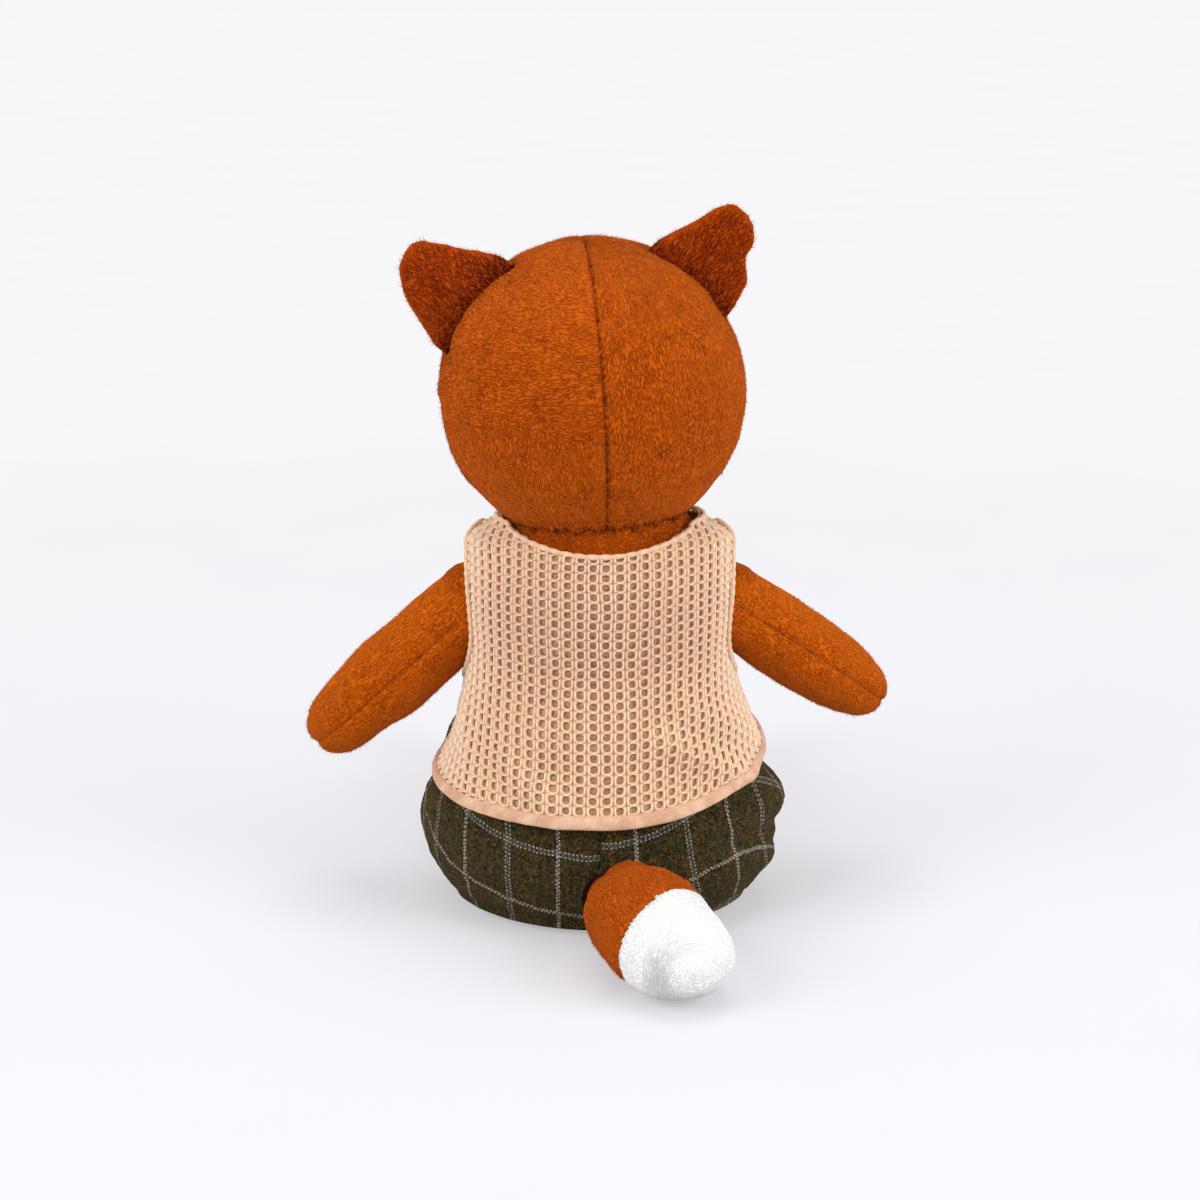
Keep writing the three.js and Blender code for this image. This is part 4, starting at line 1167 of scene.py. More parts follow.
def make_tail():
    """The tail, whose white tip is sewn on along a slanting seam."""
    s = sizes()
    pivot, axes = tail_frame()
    line = rounded_root(TAIL_SHARES, TAIL_LENGTH, TAIL_RADIUS, 10.0)
    points, faces = limb_skin(line, TAIL_FLATNESS, 2 * round(math.pi * TAIL_RADIUS / SKIN_STEP))
    points[:, 0] += 2.0 * ease(24, 44, points[:, 2]) * ease(-4, 6, points[:, 0])
    normals = normals_of(points, faces)
    cut = (turn("Y", 36) @ turn("X", 3))[:, 2]

    def beyond(p):
        """How far a place lies beyond the seam, on the tip's side."""
        return (p - (0, 0, 24)) @ cut

    points = stuffed(points, faces, lambda p: (np.abs(beyond(p)) < SEAM_HELD) | (p[:, 2] < 9), 1.0, 2.6)
    from_seam = beyond(points)
    nap = limb_nap(points, TAIL_RADIUS)
    moved = lumped(points, normals, 0.35, 31, 9.0)
    dip = seam_dip(from_seam, nap[:, 0], s["seam_depth"], 1.2, 33)
    moved = moved + normals * dip[:, None]
    combed, tuft = piled(moved, normals, nap, s["pile"] * 1.1, 31)
    moved = moved + (combed - moved) * (1 - 0.7 * ease(0, 4, from_seam))[:, None]
    points = points + (moved - points) * ease(1, 6, points[:, 2])[:, None]
    middle = centre_of(points, faces)
    tip = beyond(middle) + 0.35 * lattice(middle, 1.2, 35) > 0
    world = points @ axes.T + pivot
    world[:, 2] = np.maximum(world[:, 2], SEAT)
    parts = [
        ("tail_plush", "fox_plush", ~tip, ["tail_base"]), ("tail_tip_plush", "pale_plush", tip, ["tail_tip"])
    ]
    bare = (points[:, 2] < 11) | (from_seam > 3.0)
    layers = (tuft, 0.1, seam_layer(from_seam))
    plush_pieces(world, faces, nap, layers, parts, "tail", axes[:, 2], bare)
    add_root("tail_root", pivot, TAIL_ROOT, 37)
    wad("tail_wadding", ["tail_stuffing"], "tail", 1.6, 0.3, 31, 0.3)


# Head


def head_skin():
    """The head's closed skin in its own frame: skull, cheeks and snout, hollow over the neck."""
    shares = [[0.2, 0.6, 0.53], [0.5, 0.54, 0.47], [0.7, 0.43, 0.38], [0.86, 0.31, 0.28]]
    shares += [[0.95, 0.23, 0.21], [1, 0.12, 0.11]]
    line = traced(np.array(shares) * (56, SKULL_RADIUS, SKULL_RADIUS), 1.0)
    centres = np.stack([line[:, 0] * 0, -3 - line[:, 0], line[:, 0] * 0 + 25.5], axis=1)
    snout = capped(rings(centres, line[:, 1:], 64, across=-X_AXIS, up=Z_AXIS))
    cheeks = [ball((x, -20, 23.5), (20.5, 18.5, 15.2), 64) for x in (14.5, -14.5)]
    points, faces = merged_form([ball(SKULL, (37.9,) * 3, 120), *cheeks, snout], FORM_VOXEL, 6)
    out = np.linalg.norm(points[:, :2], axis=1)
    around = np.arctan2(points[:, 0], points[:, 1])
    reach = 22.3 - 0.15 * np.cos(around * 23 + 2 * np.sin(3 * around))
    under = (points[:, 2] < 13) & (out < reach)
    points[under, 2] = np.sqrt(np.maximum(22.7**2 - out[under] ** 2, 0))
    return points, faces


def face_line(points):
    """How far a point is above the seam between the orange face and the white cheeks."""
    return points[:, 2] - (23.5 + 0.3 * np.abs(points[:, 0]))


def head_seams(points, out, angle, down):
    """The head's seams, its stitches and the ears' and eyes' feet: how far each place moves out, how far
    it is from a seam, and how much painted shade falls near an ear's foot."""
    s = sizes()
    x, y, z = points.T
    # distance from the seam, way along it and how much of it there is
    seams = [
        (x, z, ease(-1.0, 1.5, y)),
        (y, x + 100, ease(14, 22, z)),
        (face_line(points), x + 50, ease(-0.5, -3, y)),
        (x, y, ease(-3, -6, y) * 0.8),
    ]
    shift, shade = np.zeros(len(x)), np.zeros(len(x))
    seam = np.full(len(x), NO_SEAM)
    for k, (distance, along, share) in enumerate(seams):
        depth = s["seam_depth"] * (0.85 if k else 0.95)
        shift += seam_dip(distance, along, depth, s["seam_width"], 43 + k) * share
        seam = np.minimum(seam, np.abs(distance) + NO_SEAM * (1 - share))
    # gathers over the neck
    gather = np.cos(27 * angle + 2.2 * lattice(points, 9.0, 47)) * bell(z - 3.5, 5.0) * ease(0, 4, z)
    shift += 0.45 * gather * ease(16, 22, out)
    # the pits that the stitches draw in, left of the back seam, which the finish darkens with painted shade
    pitch = s["stitch"]
    spot = np.mod(down + 0.7 * lattice(points, 7.0, 48), pitch) - pitch / 2
    pit = bell(np.hypot(x + 0.35, spot), 0.55) * ease(-1, 2, y) * ease(8, 12, out)
    shift -= 0.5 * pit
    seam = np.minimum(seam, 0.55 - 0.55 * ease(0.25, 0.6, pit) + NO_SEAM * (pit < 0.2))
    for name in EARS:
        distance = from_ear_foot(points, name)
        shift -= 0.8 * bell(distance, 1.5)
        # painted shade on the head round each ear's foot
        shade = shade + bell(distance - 1, 3.4)
    for side in (1, -1):
        socket = np.linalg.norm(points - eye_centre(side), axis=1)
        shift -= 1.1 * bell(socket, 4.2) * (y < 0)
        seam = np.minimum(seam, np.abs(socket - 3.5))
    return shift, np.maximum(seam, 0), shade


def make_head():
    """The head's six panels: two at the back, two of the face and two white cheeks."""
    points, faces = head_skin()

    def held(p):
        seams = (np.abs(p[:, 0]) < 2.2) & (p[:, 1] > 0) | (np.abs(p[:, 1]) < 2.2)
        return seams | (face_line(p) < 1.5) & (p[:, 1] < 0) | (p[:, 2] < 14) | (p[:, 1] < -34)

    points = stuffed(points, faces, held, 1.8, 4.0)
    points = snapped(points, points[:, 0], X_AXIS, 0.33)
    points = snapped(points, points[:, 1], Y_AXIS, 0.33)
    normals = normals_of(points, faces)
    x, y, z = points.T
    out = np.linalg.norm(points[:, :2], axis=1)
    hollow = (np.linalg.norm(points, axis=1) < 23.2) & (z < 23)
    angle = np.arctan2(x, y)
    down = np.arccos(np.clip((z - SKULL[2]) / SKULL_RADIUS, -1, 1)) * SKULL_RADIUS
    nap = np.stack([angle * 31, np.linalg.norm(points - SKULL, axis=1), down], axis=1)
    moved = lumped(points, normals, 0.45, 41, 13.0)
    moved = lumped(moved, normals, 0.25, 42, 5.0)
    shift, seam, shade = head_seams(points, out, angle, down)
    moved = moved + normals * shift[:, None]
    moved, tuft = piled(moved, normals, nap, sizes()["pile"], 45)
    # the underside is lifted clear of the vest
    low = ease(17, 10, z)
    lift = low * (0.5 + 0.9 * ease(4, -4, y))
    moved[:, 2] = np.maximum(moved[:, 2], points[:, 2] + lift) * low + moved[:, 2] * (1 - low)
    # the pile is darker in the hollow over the neck, darkened with painted shade round the ears' feet and
    # paler at the crown, and it swirls to the left behind
    tuft = tuft - 0.8 * hollow - 4 * shade + 2.5 * ease(0.4, -0.6, y) * ease(60, 66, z)
    points = np.where(hollow[:, None], points, moved)
    swirl = ease(60, 150, np.abs(np.degrees(angle))) * 0.3
    leftward = ease(-0.3, 0.3, x) * ease(27, 42, z + 0.2 * x + 4 * lattice(points, 8.0, 44)) * 0.95
    swirl += leftward * ease(-1, 2, y)
    middle = centre_of(points, faces)
    rear, left = middle[:, 1] > 0, middle[:, 0] > 0
    cheek = ~rear & (face_line(middle) < 0)
    brow = ~rear & ~cheek
    parts = []
    for side, here in (("left", left), ("right", ~left)):
        parts.append((f"head_plush_back_{side}", "fox_plush", rear & here, [f"head_back_{side}"]))
        parts.append((f"head_plush_face_{side}", "fox_plush", brow & here, [f"face_{side}"]))
        parts.append((f"head_plush_cheek_{side}", "pale_plush", cheek & here, [f"cheek_{side}"]))
    world, bare = points @ HEAD_REST.T + NECK, points[:, 2] < 14
    layers = (tuft, np.clip(swirl, 0, 1), seam)
    plush_pieces(world, faces, nap, layers, parts, "head", np.array([0.1, 0.2, -1.0]), bare)
    wad("head_wadding", ["head_stuffing"], "head", 2.4, 0.5, 49, 0.5)


# Rise, far edge and near edge across, and half thickness
EARS = {
    "ear_left": [
        [-1.6, -13.8, 13.4, 1.0],
        [2, -13.4, 13.4, 1.8],
        [7, -11.3, 12.7, 2.7],
        [12, -9.0, 11.0, 3.0],
        [17, -6.7, 8.8, 2.9],
        [19.4, -5.4, 7.0, 2.8],
        [21.6, -3.9, 4.4, 2.1],
        [22.9, -2.4, 1.8, 0.9],
    ],
    "ear_right": [
        [-1.6, -12.8, 12.9, 1.0],
        [2, -12.7, 12.4, 1.8],
        [7, -12.3, 10.4, 2.7],
        [9.6, -11.2, 9.3, 2.9],
        [12, -8.7, 8.4, 3.0],
        [14.3, -6.9, 7.5, 2.9],
        [17, -6.5, 6.5, 2.9],
        [19.3, -4.9, 5.5, 2.6],
        [21.0, -2.8, 4.5, 1.9],
        [21.9, -0.8, 3.2, 0.8],
    ],
}
# Across, through and up the ear
EAR_AXES = {
    "ear_left": np.array([[0.6064, 0.0531, -0.7934], [0.2811, 0.9190, 0.2764], [0.7438, -0.3907, 0.5424]]),
    "ear_right": np.array([[0.7575, 0.0663, 0.6494], [-0.0984, 0.9951, 0.0133], [-0.6454, -0.0740, 0.7603]]),
}


def from_ear_foot(points, name):
    """How far a place on the head is from the foot of an ear."""
    world = points @ HEAD_REST.T + NECK
    place = (world - joint_place(f"{name}_fold")) @ EAR_AXES[name].T
    beside = np.abs(place[:, 1]) - 2.0
    past = np.maximum(np.abs(place[:, 0]) - 13.5, 0)
    over = np.maximum(np.abs(place[:, 2]) - 6.0, 0)
    return np.sqrt(beside**2 + past**2 + over**2)


def make_ears():
    """Both ears: a plush back, which rolls over the edge, and a pale front."""
    s = sizes()
    for seed, (name, rows) in enumerate(EARS.items(), 51):
        line = traced(rows, 0.5)
        centres = np.stack([(line[:, 1] + line[:, 2]) / 2, line[:, 0] * 0, line[:, 0]], axis=1)
        halves = np.stack([(line[:, 2] - line[:, 1]) / 2, line[:, 3]], axis=1)
        points, faces = capped(rings(centres, halves, 124, 2.3))
        normals = normals_of(points, faces)
        x, y, z = points.T.copy()
        nap = np.stack([x * 1.1, y, z * 0.9 - np.abs(x) * 0.4], axis=1)
        moved = lumped(points, normals, 0.3, seed, 6.0)
        moved, tuft = piled(moved, normals, nap, s["pile"], seed)
        points = points + (moved - points) * ease(-1, 3, z)[:, None]
        share = np.abs(x) / 13.0
        points[:, 1] -= 1.9 * share**2 * ease(0, 8, z) - 0.5 * ease(0, 10, z)
        points[:, 1] += 2.6 * bell(z - 0.5, 4.2) * ease(-0.5, 0.8, y)
        rolled = y > -1.2 + 0.9 * lattice(points, 5.0, seed + 7)
        behind = rolled[faces[:, 0]]
        world = points @ EAR_AXES[name] + joint_place(f"{name}_fold")
        width = np.interp(z, line[:, 0], halves[:, 0])
        rim = ease(0.8, 1.0, np.abs(x - np.interp(z, line[:, 0], centres[:, 0])) / width)
        tuft = tuft - 1.5 + 6.0 * np.maximum(rim, ease(18.5, 22.5, z)) * ease(2, 7, z)
        # painted shade at the ear's foot: the pile is darkened near its base, and the seam layer is small
        # there so that the finish paints a dark band
        foot = 0.16 + 0.09 * np.maximum(z - 1.5, 0) + 9 * (z > 5)
        layers = (tuft - 4 * bell(z - 1, 3.5), 0.2, foot)
        parts = [
            (f"{name}_plush", "ear_plush", behind, [f"{name}_back"]),
            (f"{name}_front_plush", "pale_plush", ~behind, [f"{name}_lining"]),
        ]
        plush_pieces(world, faces, nap, layers, parts, name, EAR_AXES[name][2], z < 1, 0.8)


# The left eye's middle and the way it looks
EYE_PLACE = np.array([20.255, -35.926, 133.661])
EYE_OUT = np.array([0.4788, -0.8709, 0.1107])


def eye_centre(side):
    """An eye's place on the face, in the head's frame."""
    return ((EYE_PLACE - NECK) @ HEAD_REST) * (side, 1, 1)


def make_face():
    """Eyes with their shanks and washers, and the stitched nose."""
    shank = [[-6.6, 0.3], [-6.6, 1.1], [-3.2, 1.1], [-0.5, 1.15]]
    dome = [shank[-1], [-0.3, 3.1], [0.0, 3.3], [0.7, 3.1], [1.5, 2.4], [2.1, 1.3], [2.35, 0.25]]
    eye = np.concatenate([traced(shank, 0.3), traced(dome, 0.22)[1:]])
    half_ring = [[1.45, 0.6], [1.9, 0.6], [4.7, 0.45], [5.0, 0.2]]
    ring = [[1.45, -0.6], *half_ring, [5.0, -0.2], [4.7, -0.45], [1.9, -0.6]]
    for side, name in ((1, "left"), (-1, "right")):
        centre = HEAD_REST @ eye_centre(side) + NECK
        axes = limb_axes(HEAD_REST @ ((EYE_OUT @ HEAD_REST) * (side, 1, 1)))
        points, faces = limb_skin(eye, 1.0, 64)
        world = points @ axes.T + centre
        add_piece(f"eye_{name}_gloss", world, faces, "gloss_eye", "head", [f"eye_{name}"], "eye")
        low, high = box_of(f"eye_washer_{name}")
        p, f = turned_ring(ring, 64)
        p = p @ axes.T + (low + high) / 2
        node = f"eye_washer_{name}"
        add_piece(f"eye_{name}_washer_ring", p, f[:, ::-1], "moulded_washer", "head", [node], "washer")
    low, high = box_of("nose")
    points, faces = ball((0, 0, 0), (5.3, 3.4, 4.1), 90)
    x, y, z = points.T
    points[:, 0] *= 1 - 0.3 * ease(1, -4, z)
    points[:, 1] += 0.25 * np.sin(x * 2 * math.pi / 1.1) * bell(y + 3.4, 2.5)
    world = points @ HEAD_REST.T + (low + high) / 2
    add_piece("nose_satin_stitch", world, faces, "satin_nose", "head", ["nose"], "nose")


def turned_ring(section, columns):
    """A closed ring about Z whose section lists (radius, height)."""
    grid = np.array([circle(columns) * r + (0, 0, h) for r, h in section])
    return grid.reshape(-1, 3), grid_faces(len(section) + 1, columns, True) % (len(section) * columns)


# Torso and the clothes round it: an angle of 0 is the centre back, and 90 degrees is the left side


def torso_halves(height):
    share = np.asarray(height, float) / TORSO_HEIGHT
    return HIP_HALF_WIDTH * share_table(TORSO_SHARES, share, 1), HIP_HALF_DEPTH * share_table(
        TORSO_SHARES, share, 2
    )


def round_torso(angle, height, out):
    """A point on the torso's form at an angle and height, some way out of its skin."""
    wide, deep = torso_halves(height)
    shape = np.broadcast(angle, height, out).shape
    x, y = (wide + out) * np.sin(angle), (deep + out) * np.cos(angle)
    return np.stack([np.broadcast_to(v, shape) for v in (x, y, height)], axis=-1)


def dented(points, centre, radius, inward):
    """Points inside a ball, and before it, moved inward to its far side."""
    inward = inward / np.linalg.norm(inward)
    offset = points - centre
    along = offset @ inward
    beside = np.linalg.norm(offset - along[:, None] * inward, axis=1)
    wall = np.sqrt(np.maximum(radius**2 - beside**2, 0))
    near = (beside < radius) & (along < wall) & (along > -radius * 1.6)
    points = points.copy()
    points[near] += (wall - along)[near][:, None] * inward
    return points, near


def torso_form(count):
    """The torso's closed skin, up to the neck's ball and down into its socket, in rings of a count."""
    angle = even_turns(count)
    rows = [
        round_torso(angle, 4.0, 0.0) * (share, share, 0) + (0, 0, 2.0) for share in (0.02, 0.3, 0.6, 0.85)
    ]
    rows.append(round_torso(angle, 4.0, -1.2) * (1, 1, 0) + (0, 0, 2.3))
    for z in np.linspace(4, 97.5, 120):
        ball_reach = math.sqrt(max(NECK_BALL**2 - (z - NECK[2]) ** 2, 0))
        ring = round_torso(angle, z, 0.0)
        out = np.linalg.norm(ring[:, :2], axis=1)
        wanted = np.maximum(out, ball_reach if z > 90 else 0)
        ring[:, :2] *= (wanted / out)[:, None]
        rows.append(ring)
    around = circle(count)[:, [1, 0, 2]]
    for z in np.linspace(98.3, 102.6, 8):
        rows.append(around * math.sqrt(NECK_BALL**2 - (z - NECK[2]) ** 2) + (0, 0, z))
    rows += [around * reach + (0, 0, 103) for reach in (19.6, 15.4)]
    for down in np.linspace(math.asin(8 / NECK_SOCKET), -math.pi / 2 + 0.03, 24):
        rows.append(around * NECK_SOCKET * math.cos(down) + (0, 0, NECK[2] + NECK_SOCKET * math.sin(down)))
    points, faces = capped(np.array(rows))
    faces[:, :3] = faces[:, [2, 1, 0]]
    return points, faces


def make_torso():
    """The plush torso under the clothes, with its neck ball, and the loose filling inside."""
    points, faces = torso_form(240)
    sockets = np.zeros(len(points), bool)
    roots = {f"{limb}_swing": LIMB_ROOT for limb in ("arm_left", "arm_right", "leg_left", "leg_right")}
    for name, root in (*roots.items(), ("tail_sway", TAIL_ROOT)):
        centre = joint_place(name)
        points, near = dented(points, centre, root + 1.3, np.array([-centre[0], -centre[1], 0.0]))
        sockets |= near
    normals = normals_of(points, faces)
    spread = np.arctan2(points[:, 0], points[:, 1])
    nap = np.stack([spread * 34, spread * 0, points[:, 2]], axis=1)
    rim = points[:, 2] > 97
    moved = lumped(points, normals, 0.3, 61, 9.0)
    moved, tuft = piled(moved, normals, nap, 0.3, 61)
    bowl = (np.linalg.norm(points - NECK, axis=1) < NECK_SOCKET + 0.5) | sockets
    points = np.where(bowl[:, None], points, moved)
    points[:, 2] = np.maximum(points[:, 2], 2.05)
    back = centre_of(points, faces)[:, 1] > 0
    parts = [
        ("torso_plush_back", "fox_plush", back, ["torso_skin_back"]),
        ("torso_plush_front", "fox_plush", ~back, ["torso_skin_front"]),
    ]
    layers = (tuft - 0.8 * rim, 0.1 + 0.5 * ease(92, 96, points[:, 2]), NO_SEAM)
    plush_pieces(points, faces, nap, layers, parts, "torso")
    wad("torso_wadding", ["torso_stuffing"], "torso", 2.6, 0.6, 63, 0.6)
    wad("pellet_bag", ["pellet_pouch"], "torso", 2.2, 0.8, 64, 0.3, None, "cotton_pouch", "pouch")
    wad("neck_wadding", ["neck_stuffing"], "neck", 1.8, 0.4, 65, 0.3)
    make_draw_thread()


def make_draw_thread():
    """Two strands laid round each other, which gather the neck."""
    low, high = box_of("neck_thread")
    middle, reach = (low + high) / 2, (high - low)[:2].mean() / 2
    gauge = (high - low)[2] / 2
    lay = 0.42 * gauge
    around = np.linspace(0, 2 * math.pi, 420, endpoint=False)
    strands = []
    for start in (0, math.pi):
        twist = around * 46 + start
        out = reach - gauge + lay * np.cos(twist)
        path = np.stack([out * np.cos(around), out * np.sin(around), lay * np.sin(twist)], axis=1)
        strands.append(tube(path + middle, gauge * 0.55, 8, True))
    points, faces = joined(strands)
    add_piece("neck_draw_thread", points, faces, "seam_thread", "neck_seam", ["neck_thread"], "thread")


def tube(path, radius, columns, closed):
    """A tube along a path, closed into a ring or with a cap at each end."""
    radius = np.broadcast_to(radius, len(path))
    if closed:
        ahead = np.roll(path, -1, 0) - np.roll(path, 1, 0)
    else:
        ahead = np.gradient(path, axis=0)
    ahead /= np.linalg.norm(ahead, axis=1, keepdims=True)
    side = np.cross(ahead, np.array([0.013, 0.017, 1.0]))
    side /= np.linalg.norm(side, axis=1, keepdims=True)
    over = np.cross(side, ahead)
    c, s, _ = circle(columns).T[:, None, :, None]
    grid = path[:, None] + radius[:, None, None] * (c * side[:, None] + s * over[:, None])
    if not closed:
        return capped(grid)
    return grid.reshape(-1, 3), grid_faces(len(path) + 1, columns, True) % (len(path) * columns)


# The vest

HEM, VEST_TOP = 34.0, 100.0
HEM_SLOPE = math.tan(math.radians(9))
NECKLINE = (np.array([0, 0, 108.8]), np.array([27.0, 34.0, 20.7]))
# How far the knit's middle stands off the torso, and the height where the vest's neck ends
KNIT_OFF, NECK_END = 2.2, 99.4
# Folds: start and end as angle in degrees and height, then width and height of the ridge
FOLDS = [
    ((-22, 50), (-62, 36.5), 3.4, 1.5),
    ((-40, 55), (-80, 45), 3.6, 0.9),
    ((14, 33), (40, 45), 3.8, 1.0),
    ((50, 36), (72, 52), 3.2, 0.8),
    ((-100, 40), (-140, 58), 4.0, 0.8),
    ((105, 40), (140, 55), 4.0, 0.8),
]


def vest_swell(angle, height):
    """How far the vest stands off the torso at a place, over its layers' own offsets."""
    degrees = np.degrees(np.asarray(angle, float))
    out = 2.7 * (1 - ease(46, 65, height))
    side = np.abs(degrees)
    out = out + 2.3 * bell(side - 90, 34) * bell(np.asarray(height) - 96, 7.5)
    out = out - 1.9 * bell(degrees - 90, 40) * (1 - ease(36, 66, height))
    out = out + 1.1 * bell(degrees + 90, 40) * (1 - ease(36, 62, height))
    low = 1 - ease(HEM - 2, HEM + 12, height)
    out = out + low * (1.2 * bell(degrees - 90, 34) + 2.4 * bell(degrees + 90, 34))
    for (a0, z0), (a1, z1), width, rise in FOLDS:
        ahead = np.array([(a1 - a0) * 0.62, z1 - z0])
        run = np.linalg.norm(ahead)
        ahead = ahead / run
        px, pz = (degrees - a0) * 0.62, np.asarray(height) - z0
        along = px * ahead[0] + pz * ahead[1]
        across = px * ahead[1] - pz * ahead[0]
        out = out + rise * bell(across, width) * ease(-5, 4, along) * (1 - ease(run - 3, run + 6, along))
    return out


def hem_rise(angle):
    """How far the hem climbs towards the sides, more on the right."""
    return 1.5 + np.sin(angle) ** 2 * np.where(np.sin(angle) > 0, -1.0, 5.5)


class VestMap:
    """Places on the vest from how far they lie round it and up it, in millimetres."""

    LOWEST, STEP = 26, 0.5

    def __init__(self):
        self.heights = np.linspace(self.LOWEST, 101, 76)
        angles = np.linspace(0, math.pi, 361)
        self.reach = np.arange(0, 150, self.STEP)
        self.table = np.zeros((len(self.heights), len(self.reach)))
        self.side = np.zeros(len(self.heights))
        for i, z in enumerate(self.heights):
            far = run_along(round_torso(angles, z, KNIT_OFF + 2.7 * float(1 - ease(46, 65, z))))
            self.table[i] = np.interp(self.reach, far, angles)
            self.side[i] = far[180]
        wide, deep = torso_halves(self.heights)
        run = np.hypot(np.diff(self.heights), np.diff((wide + deep) / 2))
        self.up = np.concatenate([[0], np.cumsum(run)])
        self.up -= np.interp(HEM, self.heights, self.up)

    def height(self, up):
        return np.interp(up, self.up, self.heights)

    def tilted(self, angle, row):
        """The height of a row at an angle: the rows near the hem climb towards the front and the sides."""
        _, deep = torso_halves(row)
        return row + (hem_rise(angle) - (deep + 4) * np.cos(angle) * HEM_SLOPE) * (1 - ease(HEM, 92, row))

    def angle(self, around, height):
        z = np.clip(height - self.LOWEST, 0, len(self.heights) - 1.001)
        r = np.clip(np.abs(around) / self.STEP, 0, len(self.reach) - 1.001)
        i, k = z.astype(int), r.astype(int)
        fz, fr = z - i, r - k
        low = self.table[i, k] * (1 - fr) + self.table[i, k + 1] * fr
        high = self.table[i + 1, k] * (1 - fr) + self.table[i + 1, k + 1] * fr
        return (low * (1 - fz) + high * fz) * np.sign(around)

    def side_reach(self, up):
        return np.interp(self.height(up), self.heights, self.side)

    def place(self, around, up, out, front=False):
        """The point at a way round from the centre back (or front), a way up and a way out."""
        row = self.height(up)
        angle = self.angle(around, row)
        if front:
            angle = math.pi - angle
        height = self.tilted(angle, row)
        turned = (np.degrees(angle) + 180) % 360 - 180
        return round_torso(angle, height, out + vest_swell(np.radians(turned), height))


def armhole_ball(side):
    return np.array([side * 31.384, -5.5, 76.0]), np.array([14.0, 13.5, 20.0])


def opened(points, cuts):
    """Below 1 where a point lies in an opening, and above it elsewhere."""
    return np.min([np.linalg.norm((points - centre) / halves, axis=1) for centre, halves in cuts], axis=0)


def knit_cell():
    """One hole of the knit with half the ribs and bars round it: places, layers, shares and faces."""
    third = 1 / 3
    edge = [(-1, -1), (-third, -1), (third, -1), (1, -1), (1, -third), (1, third)]
    edge += [(1, 1), (third, 1), (-third, 1), (-1, 1), (-1, third), (-1, -third)]
    edge = np.array(edge, float)
    c, s = oval(np.arctan2(edge[:, 1], edge[:, 0]), 2.6)
    hole = np.stack([0.56 * c, 0.7 * s - 0.03], axis=1)
    front, back = (0, 0.2, 0.42, 0.64, 0.84, 1.0), (1.0, 0.0)
    shares = np.array([*front, *back])
    places = np.concatenate([edge * (1 - share) + hole * share for share in shares])
    layer = [0] * len(front) + [1] * len(back)
    return places, np.repeat(layer, 12), np.repeat(shares, 12), grid_faces(len(shares), 12, True)


def knit_height(p, q, share, pitch, row, yarn):
    """The knit's relief at a place in a cell: upright strands beside the hole, bars over and under it."""
    out = np.abs(p) * pitch / 2
    strand = bell(out - 1.12 - 0.07 * np.cos(math.pi * q), 0.17)
    bar = 0.8 * bell((1 - np.abs(q)) * row / 2, 0.2) * (1 - ease(0.66, 0.86, np.abs(p)))
    corner = bell(1 - np.abs(p), 0.2) * bell(1 - np.abs(q), 0.4)
    body = 0.5 + 0.5 * np.maximum(strand, 0.82 * bar) - 0.34 * corner
    return yarn * body * (1 - 0.3 * (share > 0.99))


def knit_panel(vest, around_low, around_high, cuts, front):
    """A piece of knit made cell by cell, trimmed at its openings and side seam."""
    s = sizes()
    pitch, row, yarn = s["rib_pitch"], s["row_pitch"], s["yarn"]
    places, layers, shares, cell = knit_cell()
    columns = np.arange(math.floor(around_low / pitch), math.ceil(around_high / pitch)) + 0.5
    rows_at = np.arange(0.9, 76, row) + row / 2
    c, r = [v.ravel() for v in np.meshgrid(columns * pitch, rows_at, indexing="ij")]
    side = vest.side_reach(r)
    middle = vest.place(c, r, KNIT_OFF, front)
    keep = (np.abs(c) < side - pitch * 0.2) & (opened(middle, cuts) > 1.0) & (vest.height(r) < 99.6)
    keep &= (c > around_low) & (c < around_high)
    c, r = c[keep], r[keep]
    count = len(places)
    p = np.tile(places[:, 0], len(c))
    q = np.tile(places[:, 1], len(c))
    layer = np.tile(layers, len(c))
    around = np.repeat(c, count) + p * pitch / 2
    up = np.repeat(r, count) + q * row / 2
    height = knit_height(p, q, np.tile(shares, len(c)), pitch, row, yarn)
    faces = (cell[None] + np.arange(len(c))[:, None, None] * count).reshape(-1, 4)
    key = np.stack([np.round(around * 400), np.round(up * 400), layer], axis=1).astype(np.int64)
    _, first, number = np.unique(key, axis=0, return_index=True, return_inverse=True)
    faces = number.ravel()[faces]
    around, up, height, layer = around[first], up[first], height[first], layer[first]
    open_edges = border(faces)
    # how high the yarn stands, which the yarn finish paints as highlight and shade
    crest = np.where(layer == 0, (height / yarn - 0.3) / 0.62, 0.2)
    cloth = np.stack([around, up, around * 0], 1)
    around = around + 0.22 * lattice(cloth, 7.0, 76) + 0.1 * lattice(cloth, 2.4, 77)
    up = up + 0.35 * lattice(cloth, 9.0, 71) + 0.13 * lattice(cloth, 2.6, 72)
    nudge = 0.2
    for _ in range(4):
        value = opened(vest.place(around, up, KNIT_OFF, front), cuts)
        inside = value < 1.0
        if not inside.any():
            break
        a, u, base = around[inside], up[inside], value[inside]
        da = (opened(vest.place(a + nudge, u, KNIT_OFF, front), cuts) - base) / nudge
        du = (opened(vest.place(a, u + nudge, KNIT_OFF, front), cuts) - base) / nudge
        size = np.maximum(da**2 + du**2, 1e-5)
        around[inside] += np.clip((1.0 - base) * da / size, -1.5, 1.5)
        up[inside] += np.clip((1.0 - base) * du / size, -1.5, 1.5)
    side = vest.side_reach(up)
    around = np.clip(around, -side, side)
    out = 1.3 + np.where(layer == 0, height, 0.12)
    points = vest.place(around, up, out, front)
    faces = closed_edges(faces, open_edges, layer, key[first])
    cellmap = np.stack([around, up, around * 0], axis=1) * MM
    return points, faces, crest, cellmap


